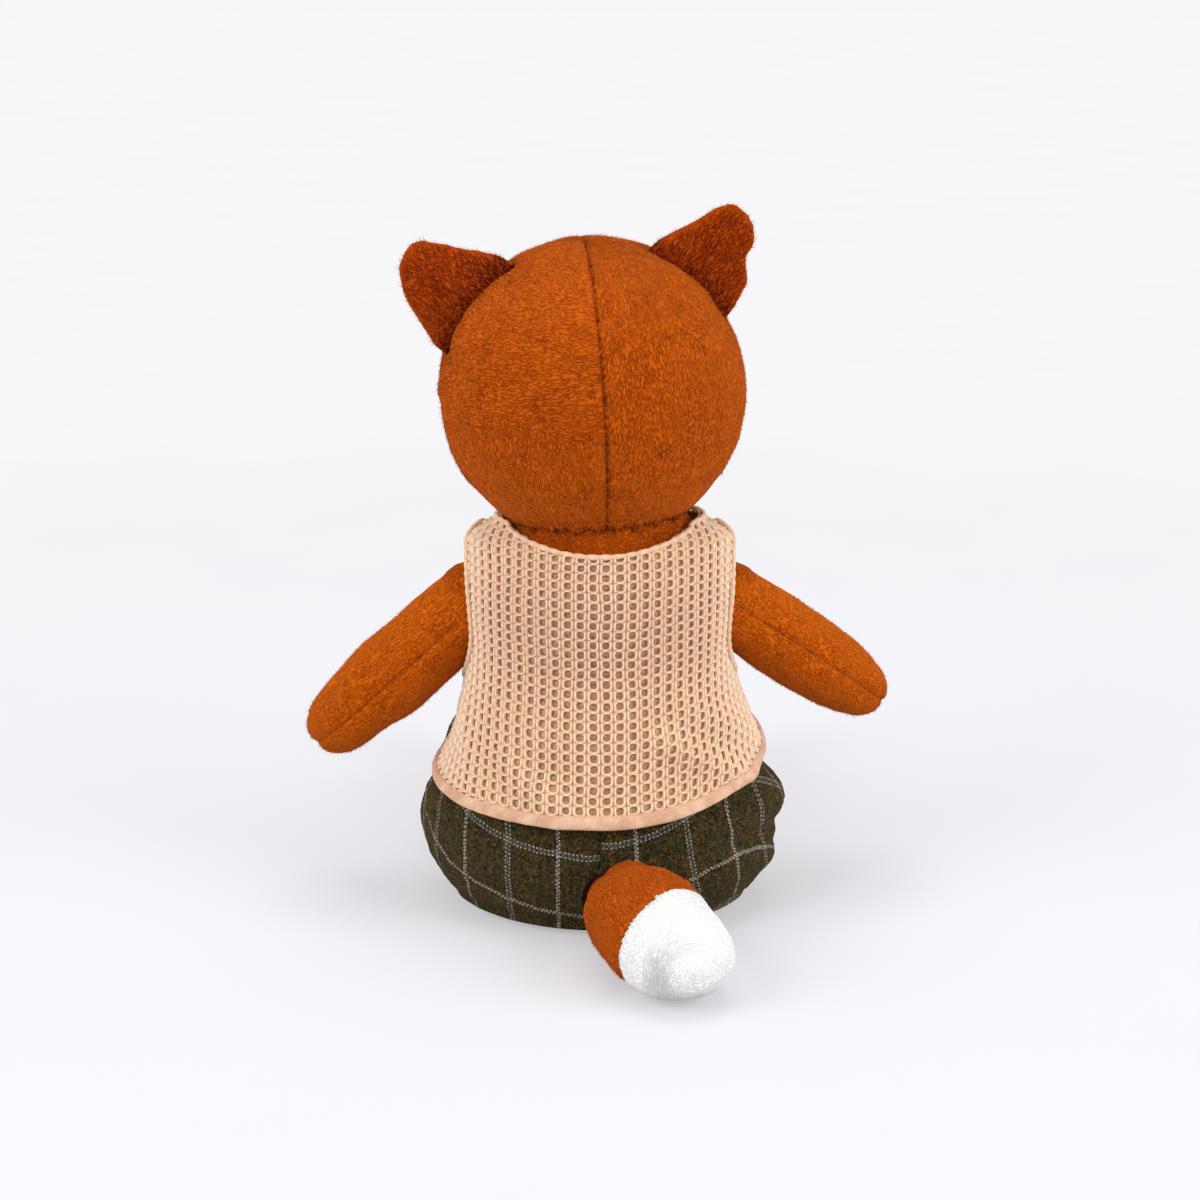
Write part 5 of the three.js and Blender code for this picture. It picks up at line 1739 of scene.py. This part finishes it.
def closed_edges(faces, edges, layer, keys):
    """Faces with the front and back of a two-sided sheet joined along its outer edge."""
    by_place = {(int(a), int(b), int(l)): i for i, (a, b, l) in enumerate(keys)}
    more = []
    for a, b in edges.tolist():
        if layer[a] == 0 and layer[b] == 0:
            back_a, back_b = [by_place.get((int(keys[k][0]), int(keys[k][1]), 1)) for k in (a, b)]
            if back_a is not None and back_b is not None:
                more.append([b, a, back_a, back_b])
    return np.concatenate([faces, np.array(more, int).reshape(-1, 4)])


def add_roll(name, path, radius, pitch):
    """A knitted edge turned over: a ribbed roll of yarn along a path."""
    run = run_along(path)
    columns = 20
    loops = 0.22 * np.abs(np.sin(math.pi * run / pitch)) - 0.14
    points, faces = tube(path, radius + loops + 0.1 * lattice(path, 5.0, 73), columns, False)
    # how high each loop stands, which the yarn finish paints as highlight and shade
    crest = 0.5 + 0.5 * np.repeat(loops, columns) / 0.22
    crest = np.concatenate([crest, [0.8, 0.8]])
    far = np.repeat(run, columns)
    cell = np.stack([far, np.tile(np.arange(columns) * 0.35, len(path)), far * 0], 1)
    cell = np.concatenate([cell, [[0, 0, 0]] * 2]) * MM
    add_piece(name, points, faces, "yarn", "torso", slot="knit", crest=crest, cell=cell)


def opening_edge(vest, cuts, around0, up0, front, turns):
    """Where rays from a middle point, at given turns, leave an opening."""

    def inside(reach):
        here = vest.place(around0 + reach * np.sin(turns), up0 + reach * np.cos(turns), KNIT_OFF, front)
        return opened(here, cuts) < 1.0

    reach, _ = halved(np.zeros(len(turns)), np.full(len(turns), 34.0), inside)
    return around0 + reach * np.sin(turns), up0 + reach * np.cos(turns)


def make_vest():
    """The knitted vest: lining, three knit panels, rolled edges, bound hem and buttons."""
    vest = VestMap()
    arm_cuts = {1: armhole_ball(1), -1: armhole_ball(-1)}
    cuts = [*arm_cuts.values(), NECKLINE]
    side = vest.side.max()
    panels = [
        ("vest_knit_panel_back", -side - 3, side + 3, False, "vest_knit_back"),
        ("vest_knit_panel_front_left", 0.9, side + 3, True, "vest_knit_front_left"),
        ("vest_knit_panel_front_right", -side - 3, -0.9, True, "vest_knit_front_right"),
    ]
    for name, low, high, front, node in panels:
        points, faces, crest, cellmap = knit_panel(vest, low, high, cuts, front)
        if front:
            faces = faces[:, ::-1]
        piece = add_piece(name, points, faces, "yarn", "torso", [node], "knit", crest=crest, cell=cellmap)
    make_vest_lining(vest, cuts)
    make_vest_edges(vest, arm_cuts)
    make_hem_binding()
    make_buttons()


def make_vest_lining(vest, cuts):
    """The fine lining that shows through the holes of the knit."""
    ups = np.linspace(0.5, 74, 100)
    angles = np.linspace(-math.pi + 0.02, math.pi - 0.02, 300)
    a, u = [v.ravel() for v in np.meshgrid(angles, ups)]
    height = vest.tilted(a, vest.height(u))
    points = round_torso(a, height, 1.2 + vest_swell(a, height))
    faces = grid_faces(len(ups), len(angles), False)[:, ::-1]
    grown = [(centre, halves + 0.6) for centre, halves in cuts]
    middle = centre_of(points, faces)
    keep = (opened(middle, grown) > 1.0) & (middle[:, 2] < NECK_END)
    points, faces = kept_faces(points, faces, keep)
    shell, shell_faces = thickened(points, faces, 0.45, normals_of(points, faces))
    name = "vest_lining_cloth"
    piece = add_piece(name, shell, shell_faces, "tricot_lining", "torso", ["vest_lining"], "lining")


def make_vest_edges(vest, arm_cuts):
    """The rolled edges round the armholes and the neck and down the front."""
    middle_up = float(np.interp(76, vest.heights, vest.up))
    reach = float(vest.side_reach(np.array([middle_up]))[0])
    for side, name in ((1, "left"), (-1, "right")):
        turns = np.linspace(0, -math.pi, 90) * side
        rolls = []
        for front in (False, True):
            a, u = opening_edge(vest, [arm_cuts[side]], side * reach, middle_up, front, turns)
            rolls.append(vest.place(a, u, KNIT_OFF + 0.2, front))
        ring = np.concatenate([rolls[0], rolls[1][::-1][1:-1]])
        run = run_along(ring)
        add_roll(f"vest_armhole_roll_{name}", spaced(ring, run, np.linspace(0, run[-1], 260)), 0.75, 2.3)
    angles = np.linspace(-math.pi + 0.035, math.pi - 0.035, 420)

    def below(height):
        here = round_torso(angles, height, KNIT_OFF + vest_swell(angles, height))
        return (opened(here, [NECKLINE]) >= 1) & (height <= NECK_END)

    top, _ = halved(np.full(len(angles), 60.0), np.full(len(angles), 101.0), below)
    add_roll("vest_neckline_roll", round_torso(angles, top - 0.35, 2.1 + vest_swell(angles, top)), 0.62, 3.15)
    z = np.linspace(41.0, top[0], 120)
    for side, name in ((1, "left"), (-1, "right")):
        path = round_torso(math.pi - 0.036, z, 2.5 + vest_swell(np.full(len(z), math.pi), z))
        path[:, 0] = side * 1.5
        add_roll(f"vest_front_roll_{name}", path, 0.75, 2.3)


def make_hem_binding():
    """The tape folded round the vest's lower edge."""
    angles = np.linspace(-math.pi + 0.016, math.pi - 0.016, 620)
    columns = 22
    tall, thick = 1.5, 0.98
    c, s = oval(even_turns(columns), 3.2)
    _, deep = torso_halves(HEM)
    rows = []
    for angle in angles:
        base = HEM - (float(deep) + 4) * math.cos(angle) * HEM_SLOPE + float(hem_rise(angle))
        narrow = 1 - 0.42 * math.sin(angle) ** 2
        height = base + 0.3 + (1 + s) * tall * narrow
        out = 2.25 + c * thick * (0.4 + 0.6 * narrow)
        rows.append(round_torso(angle, height, out + vest_swell(np.full(columns, angle), height)))
    points, faces = capped(np.array(rows))
    normals = normals_of(points, faces)
    puff = 0.16 * lattice(points, 5.0, 75) + 0.07 * lattice(points, 1.4, 76)
    points = points + normals * puff[:, None]
    add_piece("vest_hem_tape", points, faces, "brushed_binding", "torso", ["vest_hem_binding"], "binding")


def make_buttons():
    """Turned wooden buttons with a dished middle and four thread passes."""
    shape = [[0.001, 0.25], [0.55, 0.25], [1.7, 0.3], [2.05, 0.62], [2.45, 0.78], [2.85, 0.6], [3.0, 0.15]]
    shape += [[2.95, -0.3], [2.5, -0.75], [1.2, -0.8], [0.001, -0.8]]
    line = traced(shape, 0.14)
    line[:, 0] = np.maximum(line[:, 0], 0.02)
    around = circle(72)[:, [0, 2, 1]]
    grid = np.array([around * r - (0, h, 0) for r, h in line])
    button, button_faces = capped(grid)
    hole = 0.62
    for x in (-hole, hole):
        for z in (-hole, hole):
            button[:, 1] += 0.9 * bell(np.hypot(button[:, 0] - x, button[:, 2] - z), 0.3) * (button[:, 1] < 0)
    t = np.linspace(0, math.pi, 14)
    arch = [-hole * np.cos(t), -0.05 - 0.38 * np.sin(t)]
    passes = [np.stack([*arch, t * 0 + z + lift], axis=1) for z in (-hole, hole) for lift in (-0.16, 0.16)]
    thread, thread_faces = joined([tube(path, 0.17, 8, False) for path in passes])
    layers = {"crest": np.full(len(thread), 0.6), "cell": thread * MM}
    for k in (1, 2, 3):
        node = f"vest_button_{k}"
        low, high = box_of(node)
        middle = (low + high) / 2
        add_piece(
            f"vest_wood_button_{k}", button + middle, button_faces, "button_wood", "torso", [node], "button"
        )
        name = f"vest_button_thread_{k}"
        add_piece(name, thread + middle, thread_faces, "yarn", "torso", slot="knit", **layers)


# The shorts

# The radius of a sleeve round the leg's root, and how far the seat's cloth stands off the torso
LEG_SLEEVE, SEAT_OFF = 15.2, 1.9
# The seat cloth's way from the gusset, out under the seat and up to the waist: how far it has run,
# its height and its share of the full girth
SEAT_RUN = [[0, 0.95, 0.40], [8, 0.95, 0.60], [15.5, 0.95, 0.8], [20.5, 1.0, 0.945]]
SEAT_RUN += [[23.8, 2.0, 1.0], [28, 5.6, 1.015], [36, 13.8, 1.0], [68, 46.0, 1.0]]


def seat_swell(angle, height):
    """The seat's bulges and hollows: at its right side, under it and on both sides of its middle."""
    degrees = np.degrees(angle)
    z = np.asarray(height, float)
    bulges = [(-88, 26, 28, 7.5, 2.6), (-88, 22, 16, 3.4, -1.5), (0, 24, 14, 9, 0.9), (50, 20, 12, 8, 0.7)]
    bulges += [(-50, 20, 12, 8, 0.8), (-78, 30, 21.5, 2.6, -1.8), (-78, 30, 13, 3.5, 1.2)]
    out = sum(rise * bell(degrees - at, wide) * bell(z - up, tall) for at, wide, up, tall, rise in bulges)
    fold = np.stack([degrees * 0.6, z, z * 0], axis=-1).reshape(-1, 3)
    return out + 0.55 * lattice(fold, 9.0, 81).reshape(out.shape)


def seat_place(angle, run, out):
    """A point of the seat cloth: run is its way from the gusset's edge, in millimetres."""
    height, share = seat_run(run)
    wide, deep = torso_halves(np.maximum(height, 4.0))
    outward = (out + seat_swell(angle, height) * ease(0.0, 3.0, height)) * ease(0.3, 1, share)
    x, y = (wide * share + outward) * np.sin(angle), (deep * share + outward) * np.cos(angle)
    return np.stack([x, y, np.maximum(height, 0.95)], axis=-1)


def seat_run(run):
    """The height and the share of the full girth at a way from the gusset's edge."""
    far, height, share = np.transpose(SEAT_RUN)
    return np.interp(run, far, height), np.interp(run, far, share)


def hole_value(points):
    """Below 1 in the holes for the legs and the tail."""
    holes = [(*leg_frame(name), 1, LEG_SLEEVE - 0.5) for name in ("leg_left", "leg_right")]
    values = []
    for pivot, axes, flatness, radius in (*holes, (*tail_frame(), 0.84, 10.9)):
        place = (points - pivot) @ axes
        beside = np.hypot(place[:, 0], place[:, 1] / flatness) / radius
        values.append(np.where(place[:, 2] > -14, beside, 9.0))
    return np.min(values, axis=0)


def make_shorts():
    """The tweed shorts: two seat panels, the gusset, the elastic waist and two short legs."""
    for side, name in ((1, "left"), (-1, "right")):
        make_seat_panel(side, name)
    low, high = box_of("shorts_gusset")
    half = (high - low) / 2
    section = [(0.03, 0.1), (0.5, 0.1), (0.93, 0.15), (1.04, 0.5), (1.05, 0.9)]
    section += [(1.03, 1.3), (0.93, 1.5), (0.5, 1.55), (0.03, 1.55)]
    rows = [circle(96) * (half[0] * out, half[1] * out, 0) + (0, 0, z) for out, z in section]
    points, faces = capped(np.array(rows))
    uv = points[:, :2] * MM
    piece = add_piece(
        "shorts_gusset_cloth", points, faces, "checked_tweed", "torso", ["shorts_gusset"], "tweed", uv
    )
    for name in ("leg_left", "leg_right"):
        make_shorts_leg(name)
    make_waistband()


def make_seat_panel(side, name):
    """One half of the seat, open round the leg and the tail and dipped along the centre seam."""
    runs = np.linspace(0, 67.6, 118)
    angles = np.linspace(0.0, math.pi, 230) * side
    a, r = [v.ravel() for v in np.meshgrid(angles, runs)]
    for _ in range(5):
        value = hole_value(seat_place(a, r, SEAT_OFF))
        inside = (value < 1.0) & (value > 0.8)
        if not inside.any():
            break
        av, rv, base = a[inside], r[inside], value[inside]
        nudge = 0.16
        da = (hole_value(seat_place(av + nudge / 40, rv, SEAT_OFF)) - base) / nudge
        dr = (hole_value(seat_place(av, rv + nudge, SEAT_OFF)) - base) / nudge
        size = np.maximum(da**2 + dr**2, 1e-4)
        a[inside] += np.clip((1.001 - base) * da / size, -0.8, 0.8) / 40
        r[inside] += np.clip((1.001 - base) * dr / size, -0.8, 0.8)
    height, _ = seat_run(r)
    wide, deep = torso_halves(np.maximum(height, 4))
    arc = np.abs(a) * (wide + deep) / 2 * 1.06
    points = seat_place(a, r, SEAT_OFF)
    from_seam = np.minimum(np.abs(a), math.pi - np.abs(a)) * 38
    faces = grid_faces(len(runs), len(angles), False)
    if side > 0:
        faces = faces[:, ::-1]
    keep = hole_value(centre_of(points, faces)) > 0.985
    points, faces, arc, r, from_seam = kept_faces(points, faces, keep, arc, r, from_seam)
    normals = normals_of(points, faces)
    dip = -0.95 * bell(from_seam, 1.1) + 0.45 * bell(from_seam - 2.6, 1.7)
    fuzz = 0.14 * lattice(points, 0.9, 83) + 0.25 * lattice(points, 3.1, 84)
    points = points + normals * ((dip + fuzz) * ease(1.2, 4.0, points[:, 2]))[:, None]
    points[:, 2] = np.maximum(points[:, 2], 0.15)
    rise = sizes()["pane_rise"]
    if side > 0:
        u, v = arc - 9.5, r - 44.6 - 0.0059 * arc**2 + rise
    else:
        bow = 9.5 * np.sin(math.pi * np.minimum(arc, 76) / 76) ** 2
        slant = 0.16 * (r - 50) * ease(4, 18, arc) * (1 - ease(50, 80, arc))
        u, v = arc - 8.0 + slant, r - 47.6 - bow + rise
    shell, shell_faces = thickened(points, faces, 1.1, normals)
    uv = np.stack([np.tile(u, 2), np.tile(v, 2)], axis=1) * MM
    node = f"shorts_seat_{name}"
    piece = add_piece(
        f"shorts_panel_{name}", shell, shell_faces, "checked_tweed", "torso", [node], "tweed", uv
    )


def make_waistband():
    """The elastic in the shorts' waist, in fine ribs."""
    low, high = box_of("shorts_waistband")
    columns = 720
    angles = even_turns(columns)
    section = [[0.2, 0.15], [0.2, 0.85], [0.5, 1.0], [0.95, 0.97], [1.2, 0.8], [1.25, 0.5]]
    section += [[1.2, 0.2], [0.95, 0.03], [0.5, 0.0]]
    rows = []
    for out, share in section:
        rib = 0.12 * np.cos(angles * 110) * (out > 0.9)
        rows.append(round_torso(angles, low[2] + (high[2] - low[2]) * share, 0.3 + out + rib))
    points = np.array(rows).reshape(-1, 3)
    faces = grid_faces(len(section) + 1, columns, True) % (len(section) * columns)
    add_piece("shorts_elastic", points, faces, "ribbed_elastic", "torso", ["shorts_waistband"], "elastic")


def make_shorts_leg(name):
    """A short leg of tweed from the seat to a turned hem, made round the leg where it rests."""
    side = 1 if name == "leg_left" else -1
    pivot, axes = leg_frame(name)
    columns = 168
    angle, around = even_turns(columns), circle(columns)

    def within(along):
        here = (around * LEG_SLEEVE + along[:, None] * Z_AXIS) @ axes.T + pivot
        wide, deep = torso_halves(np.clip(here[:, 2], 1, 46))
        return (here[:, 0] / (wide + 2.2)) ** 2 + (here[:, 1] / (deep + 2.2)) ** 2 < 1

    low, high = halved(np.full(columns, -15.0), np.full(columns, 15.0), within, 24)
    start, end = (low + high) / 2, 43.0
    steps = np.linspace(0, 1, 66)
    rows = []
    for t in steps:
        along = start * (1 - t) + end * t
        share = share_table([[0.0, 0.95], *LEG_SHARES], along / 80.0, 1)
        radius = np.maximum(LEG_RADIUS * share, 12.9) + 2.0 + 1.1 * ease(13, end, along)
        radius = LEG_SLEEVE * (1 - ease(0, 0.3, t)) + radius * ease(0, 0.3, t)
        radius = radius + 0.7 * np.sin(angle * 3 + t * 5 + side) * bell(t - 0.5, 0.35) + 0.5 * bell(
            t - 0.06, 0.05
        )
        hem = -0.9 * bell((1 - t) * 41 - 6.0, 0.8) + 0.35 * bell((1 - t) * 41 - 3.2, 2.2)
        rows.append(around * (radius + hem)[:, None] + along[:, None] * Z_AXIS)
    points = np.concatenate(rows)
    faces = grid_faces(len(rows), columns, True)
    u, v = np.tile(angle, len(rows)) * 16.5, np.repeat(steps * end, columns)
    normals = normals_of(points, faces)
    fuzz = 0.14 * lattice(points, 0.9, 85) + 0.22 * lattice(points, 3.1, 86)
    world = (points + normals * fuzz[:, None]) @ axes.T + pivot
    world[:, 2] = np.maximum(world[:, 2], 0.12)
    shell, shell_faces = thickened(world, faces, 1.0, normals @ axes.T)
    shell[:, 2] = np.maximum(shell[:, 2], 0.12)
    uv = np.stack([np.tile(u - 9.0, 2), np.tile(v - 4.0, 2)], axis=1) * MM
    node = f"shorts_{name}"
    piece = add_piece(f"shorts_{name}_cloth", shell, shell_faces, "checked_tweed", None, [node], "tweed", uv)
    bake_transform(piece)


def make_seam_stitches():
    """Ladder stitches in the seam down the back of the head."""
    along = np.linspace(-1, 1, 7)
    reach = SKULL_RADIUS - 0.55
    pull = 0.35 * (1 - 0.9 * np.abs(along) ** 2) - 0.75
    pieces = []
    for k, angle in enumerate(np.arange(0.38, 2.2, sizes()["stitch"] / SKULL_RADIUS)):
        jitter = 0.3 * math.sin(k * 2.7)
        y = reach * np.sin(angle + 0.006 * jitter * along)
        z = reach * np.cos(angle + 0.012 * along + 0.006 * jitter) + 0.25 * along
        ray = np.stack([-0.9 + 0.95 * along, y, z], axis=1)
        path = SKULL + ray + ray / np.linalg.norm(ray, axis=1, keepdims=True) * pull[:, None]
        pieces.append(tube(path, 0.17, 6, False))
    points, faces = joined(pieces)
    world = points @ HEAD_REST.T + NECK
    add_piece("head_seam_stitches", world, faces, "seam_thread", "head", slot="thread")


# Stage


def make_floor():
    """A wide pale floor that glows where the camera sees it, so that it has no edge."""
    made = Finish("pale_floor")
    diffuse = made.node("BsdfDiffuse", {"Color": tint("#d0cfd4")})
    grain = made.noise(made.place(), 60.0, 2.0)
    tone = made.mix(made.span(grain, 0.3, 0.7), tint("#f8f8fa"), tint("#f6f6f9"))
    glow = made.node("Emission", {"Color": tone, "Strength": 1.0})
    away = made.node("VectorMath", {0: made.place()}, operation="LENGTH").outputs["Value"]
    share = made.times(made.seen(), made.span(away, 0.1, 0.6, 0.42, 1.0))
    blend = made.node("MixShader", {0: share, 1: diffuse.outputs[0], 2: glow.outputs[0]})
    made.feed(made.tree.nodes["Material Output"].inputs["Surface"], blend.outputs[0])
    columns = 64
    points = np.concatenate([*(circle(columns) * reach for reach in (20, 300, 1200, 4000)), [[0, 0, 0]]])
    n = np.arange(columns)
    middle = np.stack([n * 0 + 4 * columns, n, (n + 1) % columns, n * 0 - 1], axis=1)
    mesh = mesh_of("studio_floor", points, np.concatenate([grid_faces(4, columns, True)[:, ::-1], middle]))
    if mesh.polygons[0].normal.z < 0:
        mesh.flip_normals()
    mesh.materials.append(made.material)
    linked("studio_floor", mesh)


def make_world():
    """Soft light from all round, and a pale backdrop for the camera."""
    world = bpy.data.worlds.new("studio")
    world.use_nodes = True
    sky = Nodes(world.node_tree)
    sky.tree.nodes.clear()
    ambient = sky.node("Background", {0: tint("#f7f6fa"), 1: 0.62})
    backdrop = sky.node("Background", {0: tint("#f6f5f8"), 1: 1.0})
    mix = sky.node("MixShader", {0: sky.seen(), 1: ambient.outputs[0], 2: backdrop.outputs[0]})
    sky.node("OutputWorld", {0: mix.outputs[0]})
    bpy.context.scene.world = world


def make_stage():
    """A pale floor, soft lights and the camera behind the fox."""
    make_floor()
    make_world()
    scene = bpy.context.scene
    aim = Vector((0, 0, 0.077))
    for name, place, size, power in (
        ("key", (0.8, 0.5, 0.6), 0.7, 7.8),
        ("fill", (-0.85, 0.45, 0.5), 0.7, 8.0),
        ("top", (0.0, -0.15, 1.0), 0.7, 4.6),
    ):
        lamp = bpy.data.lights.new(name, "AREA")
        lamp.shape = "SQUARE"
        lamp.size = size
        lamp.energy = power
        holder = linked(name, lamp)
        holder.location = place
        holder.rotation_euler = (aim - Vector(place)).to_track_quat("-Z", "Y").to_euler()
    data = bpy.data.cameras.new("back_view")
    data.lens = 84
    data.sensor_width = 36
    data.clip_end = 20
    camera = linked("back_view", data)
    reach, rise = 0.70, math.radians(15)
    camera.location = aim + Vector((0, reach * math.cos(rise), reach * math.sin(rise)))
    camera.rotation_euler = (aim - camera.location).to_track_quat("-Z", "Y").to_euler()
    scene.camera = camera
    scene.view_settings.view_transform = "Standard"


# The add-on's operators, panel and registration


class FOX_OT_torso(bpy.types.Operator):
    """Makes the plush torso with its neck, filling and draw thread"""

    bl_idname = "fox.torso"
    bl_label = "Torso"

    def execute(self, context):
        make_torso()
        return {"FINISHED"}


class FOX_OT_arms(bpy.types.Operator):
    """Makes both plush arms"""

    bl_idname = "fox.arms"
    bl_label = "Arms"

    def execute(self, context):
        make_arms()
        return {"FINISHED"}


class FOX_OT_legs(bpy.types.Operator):
    """Makes both plush legs with their feet"""

    bl_idname = "fox.legs"
    bl_label = "Legs"

    def execute(self, context):
        make_legs()
        return {"FINISHED"}


class FOX_OT_tail(bpy.types.Operator):
    """Makes the tail with its white tip"""

    bl_idname = "fox.tail"
    bl_label = "Tail"

    def execute(self, context):
        make_tail()
        return {"FINISHED"}


class FOX_OT_head(bpy.types.Operator):
    """Makes the head from its six plush panels"""

    bl_idname = "fox.head"
    bl_label = "Head"

    def execute(self, context):
        make_head()
        return {"FINISHED"}


class FOX_OT_stitches(bpy.types.Operator):
    """Makes the stitches in the head's back seam"""

    bl_idname = "fox.stitches"
    bl_label = "Head stitches"

    def execute(self, context):
        make_seam_stitches()
        return {"FINISHED"}


class FOX_OT_ears(bpy.types.Operator):
    """Makes both ears"""

    bl_idname = "fox.ears"
    bl_label = "Ears"

    def execute(self, context):
        make_ears()
        return {"FINISHED"}


class FOX_OT_face(bpy.types.Operator):
    """Makes the eyes and the nose"""

    bl_idname = "fox.face"
    bl_label = "Face"

    def execute(self, context):
        make_face()
        return {"FINISHED"}


class FOX_OT_shorts(bpy.types.Operator):
    """Makes the tweed shorts"""

    bl_idname = "fox.shorts"
    bl_label = "Shorts"

    def execute(self, context):
        make_shorts()
        return {"FINISHED"}


class FOX_OT_vest(bpy.types.Operator):
    """Makes the knitted vest with its lining, hem and buttons"""

    bl_idname = "fox.vest"
    bl_label = "Vest"

    def execute(self, context):
        make_vest()
        return {"FINISHED"}


class FOX_OT_stage(bpy.types.Operator):
    """Makes the floor, lights and camera"""

    bl_idname = "fox.stage"
    bl_label = "Stage"

    def execute(self, context):
        make_stage()
        return {"FINISHED"}


OPERATORS = [
    FOX_OT_torso,
    FOX_OT_arms,
    FOX_OT_legs,
    FOX_OT_tail,
    FOX_OT_head,
    FOX_OT_stitches,
    FOX_OT_ears,
    FOX_OT_face,
    FOX_OT_shorts,
    FOX_OT_vest,
    FOX_OT_stage,
]


class FOX_PT_parts(bpy.types.Panel):
    """Lists the fox's parts"""

    bl_idname = "FOX_PT_parts"
    bl_label = "Plush fox"
    bl_space_type = "VIEW_3D"
    bl_region_type = "UI"
    bl_category = "Fox"

    def draw(self, context):
        for group in (context.scene.fox_sizes, context.scene.fox_colours):
            box = self.layout.box()
            for key in group.__annotations__:
                box.prop(group, key)
        for made in OPERATORS:
            self.layout.operator(made.bl_idname)


CLASSES = [FoxSizes, FoxColours, *OPERATORS, FOX_PT_parts]


def register():
    for made in CLASSES:
        bpy.utils.register_class(made)
    bpy.types.Scene.fox_sizes = PointerProperty(type=FoxSizes)
    bpy.types.Scene.fox_colours = PointerProperty(type=FoxColours)


def unregister():
    del bpy.types.Scene.fox_colours
    del bpy.types.Scene.fox_sizes
    for made in reversed(CLASSES):
        bpy.utils.unregister_class(made)


def main():
    register()
    for made in OPERATORS:
        group, key = made.bl_idname.split(".")
        getattr(getattr(bpy.ops, group), key)()


if __name__ == "__main__":
    main()
